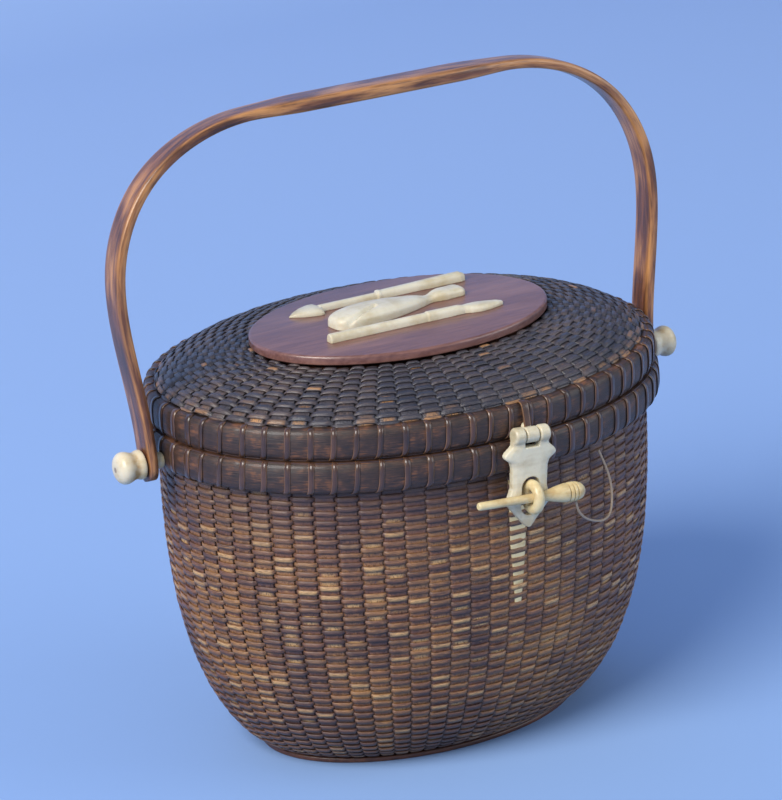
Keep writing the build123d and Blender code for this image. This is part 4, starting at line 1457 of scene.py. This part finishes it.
class PURSE_OT_handle(PurseOperator):
    """Bend the handle and turn its knobs and washers"""

    bl_idname = "purse.handle"
    bl_label = "Handle and knobs"

    def execute(self, context):
        fittings = context.scene.purse_fittings
        wood = bent_wood("Handle wood", fittings.wood_dark, fittings.wood_brown, fittings.wood_gold)
        settle(self.strap(fittings), "handle", "handle_wood", "handle", material=wood)
        clearance, knob_length, waist = 0.6 * MM, 12.1 * MM, 4.2 * MM
        outside = fittings.handle_foot + fittings.handle_thickness / 2 + clearance
        mark = {"height": PIVOT_Z, "end": outside + knob_length, "waist": outside + waist}
        knob_bone = bone("Knob bone", *colours("d8caac", "bfa878"), 0.26, mark)
        knob = [
            (0, 0), (0, 5.6), (0.4, 6.2), (1.2, 6.3), (2.2, 6.1), (3.0, 5.8), (4.2, 5.72), (5.6, 6.2),
            (7.6, 6.8), (9.4, 6.6), (10.8, 5.6), (11.7, 4.0), (12.1, 2), (12.1, 0),
        ]
        rounded = [knob[0], *[tuple(pair) for pair in smooth(knob[1:-1], 48)], knob[-1]]
        washer = [(0, 0), (0, 3.2), (0.4, 3.5), (3.0, 3.5), (3.4, 3.2), (3.4, 0)]
        for side, turn in (("r", 0.0), ("l", pi)):
            way = Matrix.Rotation(turn, 4, "Z") @ Matrix.Translation((0, 0, PIVOT_Z))
            turnings = (("knob", rounded, outside, 56), ("washer", washer, RIM_HIGH.x, 40))
            for name, outline, reach, sides in turnings:
                at = way @ Matrix.Translation((reach, 0, 0))
                piece = turned(f"bone_{name}_{side}", outline, at, sides)
                settle(piece, "basket", "bone", f"{name}_{side}", material=knob_bone)
        return {"FINISHED"}

    def strap(self, fittings):
        """Bent strip: rounded feet, legs that swell outwards, and a thicker grip on top."""
        span = fittings.handle_spread / 2
        rise = fittings.handle_rise
        side = [(1.0, 0.37), (0.999, 0.632), (0.881, 0.846), (0.518, 0.997), (0.42, 1.0)]
        leg = [(fittings.handle_foot, 0.0)] + [(x * span, z * rise) for x, z in side]
        knots = [(-x, z) for x, z in leg] + [(0.0, rise)] + leg[::-1]
        path = smooth(knots, 260, (0, 1), (0, -1))
        half = fittings.handle_width / 2
        foot_centre, foot_steps = -1.3 * MM, 12
        foot = []
        for step in range(1, foot_steps + 1):
            angle = radians(88) * step / foot_steps
            foot.append((foot_centre - half * sin(angle), half * cos(angle)))
        stations = [(-fittings.handle_foot, z, wide) for z, wide in foot[::-1]]
        stations += [(x, z, None) for x, z in path]
        stations += [(fittings.handle_foot, z, wide) for z, wide in foot]
        places = np.array([(x, z) for x, z, _ in stations])
        ways = np.gradient(places, axis=0)
        run = np.concatenate(([0], np.cumsum(np.linalg.norm(np.diff(places, axis=0), axis=1))))
        lean = Matrix.Translation((0, 0, PIVOT_Z)) @ Matrix.Rotation(-fittings.handle_lean, 4, "X")
        grip_end, grip_blend = 64 * MM, 28 * MM
        squareness, sides = 0.42, 28
        thin, extra = fittings.handle_thickness, fittings.grip_thickness - fittings.handle_thickness
        rings = []
        numbers = {"along": [], "across": [], "lift": []}
        for (x, z, wide), way, length in zip(stations, ways, run):
            grip = min(max((grip_end - abs(x)) / grip_blend, 0), 1) if z > rise / 2 else 0
            grip = grip * grip * (3 - 2 * grip)
            if wide is None:
                wide = half + (fittings.grip_width / 2 - half) * grip
            thick = (thin + extra * grip) / 2
            if z < 0:
                way = (0, 1) if x < 0 else (0, -1)
            over = Vector((-way[1], 0, way[0])).normalized()
            ring = []
            for a, b in rounded_box(wide, thick, squareness, sides):
                ring.append(lean @ (Vector((x, a, z)) + over * b))
                numbers["along"].append(length / MM)
                numbers["across"].append(a / MM)
                numbers["lift"].append(b / MM)
            rings.append(ring)
        return skin("bent_handle", rings, **numbers)


class PURSE_OT_metal(PurseOperator):
    """Finish the brass pins and rivets"""

    bl_idname = "purse.metal"
    bl_label = "Brass"

    def execute(self, context):
        paint = Paint("Brass")
        cloud = paint.noise(paint.object, 300.0, 2.0)
        base = paint.mix(cloud, *colours("b08a4a", "8a6a36"))
        brass = paint.finish(base_color=base, roughness=0.3 + cloud * 0.15, metallic=1.0)
        dress(brass, "hinge_pin", "hinge_rivets_body", "hinge_rivets_lid")
        dress(brass, "hasp_pin", "handle_pin_l", "handle_pin_r")
        return {"FINISHED"}


class PURSE_OT_stage(PurseOperator):
    """Set the floor, the lights and the camera"""

    bl_idname = "purse.stage"
    bl_label = "Stage"

    def execute(self, context):
        settings = context.scene.purse_stage
        self.backdrop(settings.floor_colour)
        self.lamp("key", (-1.9, -0.85, 1.8), 1.7, settings.key_power, (1.0, 0.97, 0.93))
        self.lamp("fill", (1.2, -0.9, 0.7), 1.2, settings.fill_power, (0.9, 0.95, 1.0))
        world = bpy.data.worlds.new("Studio")
        context.scene.world = world
        world.use_nodes = True
        sky, strength = world.node_tree.nodes["Background"].inputs[:2]
        sky.default_value = (*colour("c4d6f2"), 1.0)
        strength.default_value = 0.55
        self.camera(context)
        context.scene.view_settings.view_transform = "Standard"
        return {"FINISHED"}

    def backdrop(self, pale):
        """Floor that bends up into a wall, and is clear when it is seen from behind."""
        paint = Paint("Backdrop")
        x, y, _ = paint.object.parts()
        # Painted light: darker near the front and paler far back and to the right, offsetting how much
        # more lamp light the near floor gets
        far = (y + x * 0.4).rise(-0.5, 1.4)
        base = paint.mix(far, colour("84a3d2"), pale)
        seen = 1 - paint.node("ShaderNodeNewGeometry").out("Backfacing")
        half_width, bend_start, radius = 5.0, 1.1, 0.5
        floor_steps, bend_steps, wall_steps = 6, 12, 6
        floor_step, wall_step = 1.1, 0.45
        work = bmesh.new()
        grid = []
        for step in range(floor_steps + bend_steps + wall_steps + 1):
            angle = radians(90) * max(0, min(1, (step - floor_steps) / bend_steps))
            y = bend_start + radius * sin(angle) - max(0, floor_steps - step) * floor_step
            z = radius * (1 - cos(angle)) + max(0, step - floor_steps - bend_steps) * wall_step
            grid.append([work.verts.new((x, y, z)) for x in (-half_width, half_width)])
        for lower, upper in zip(grid, grid[1:]):
            work.faces.new((lower[0], lower[1], upper[1], upper[0])).smooth = True
        mesh = bpy.data.meshes.new("backdrop")
        work.to_mesh(mesh)
        work.free()
        floor = link("backdrop", mesh)
        coat(floor, paint.finish(base_color=base, roughness=0.9, specular_ior_level=0.1, alpha=seen))
        return floor

    def lamp(self, name, place, size, power, tint):
        """A round soft light that points at the purse."""
        light = bpy.data.lights.new(name, "AREA")
        light.shape = "DISK"
        light.size = size
        light.energy = power
        light.color = tint
        lamp = link(name, light)
        way = Vector((0, 0, 0.1)) - Vector(place)
        aim = way.to_track_quat("-Z", "Y").to_matrix().to_4x4()
        lamp.matrix_world = Matrix.Translation(place) @ aim

    def camera(self, context):
        """The photograph's viewpoint."""
        turn, height, roll = radians(-28.409), radians(19.524), radians(-2.997)
        distance, lens = 1.7592, 186.47
        target = Vector((-0.005877, 0, 0.143946))
        back = Vector((sin(turn) * cos(height), -cos(turn) * cos(height), sin(height)))
        right = Vector((cos(turn), sin(turn), 0))
        up = back.cross(right)
        across = cos(roll) * right + sin(roll) * up
        upright = -sin(roll) * right + cos(roll) * up
        data = bpy.data.cameras.new("camera")
        data.lens = lens
        data.sensor_width = 36
        camera = link("camera", data)
        axes = Matrix((across, upright, back)).transposed().to_4x4()
        camera.matrix_world = Matrix.Translation(target + back * distance) @ axes
        context.scene.camera = camera


SETTINGS = {
    "purse_weave": WeaveSettings,
    "purse_fittings": FittingSettings,
    "purse_stage": StageSettings,
}
STEPS = [
    PURSE_OT_stage,
    PURSE_OT_body_weave,
    PURSE_OT_lid_weave,
    PURSE_OT_rims,
    PURSE_OT_boards,
    PURSE_OT_carvings,
    PURSE_OT_latch,
    PURSE_OT_cord,
    PURSE_OT_handle,
    PURSE_OT_metal,
]


class PURSE_PT_panel(bpy.types.Panel):
    """Sizes, colours and steps of the purse"""

    bl_label = "Purse"
    bl_idname = "PURSE_PT_panel"
    bl_space_type = "VIEW_3D"
    bl_region_type = "UI"
    bl_category = "Purse"

    def draw(self, context):
        for name in SETTINGS:
            settings = getattr(context.scene, name)
            for key in settings.__annotations__:
                self.layout.prop(settings, key)
        for step in STEPS:
            self.layout.operator(step.bl_idname)


CLASSES = [*SETTINGS.values(), *STEPS, PURSE_PT_panel]


def register():
    for each in CLASSES:
        bpy.utils.register_class(each)
    for name, kind in SETTINGS.items():
        setattr(bpy.types.Scene, name, PointerProperty(type=kind))


def unregister():
    for name in SETTINGS:
        delattr(bpy.types.Scene, name)
    for each in reversed(CLASSES):
        bpy.utils.unregister_class(each)


def main():
    register()
    for step in STEPS:
        group, name = step.bl_idname.split(".")
        getattr(getattr(bpy.ops, group), name)()


if __name__ == "__main__":
    main()
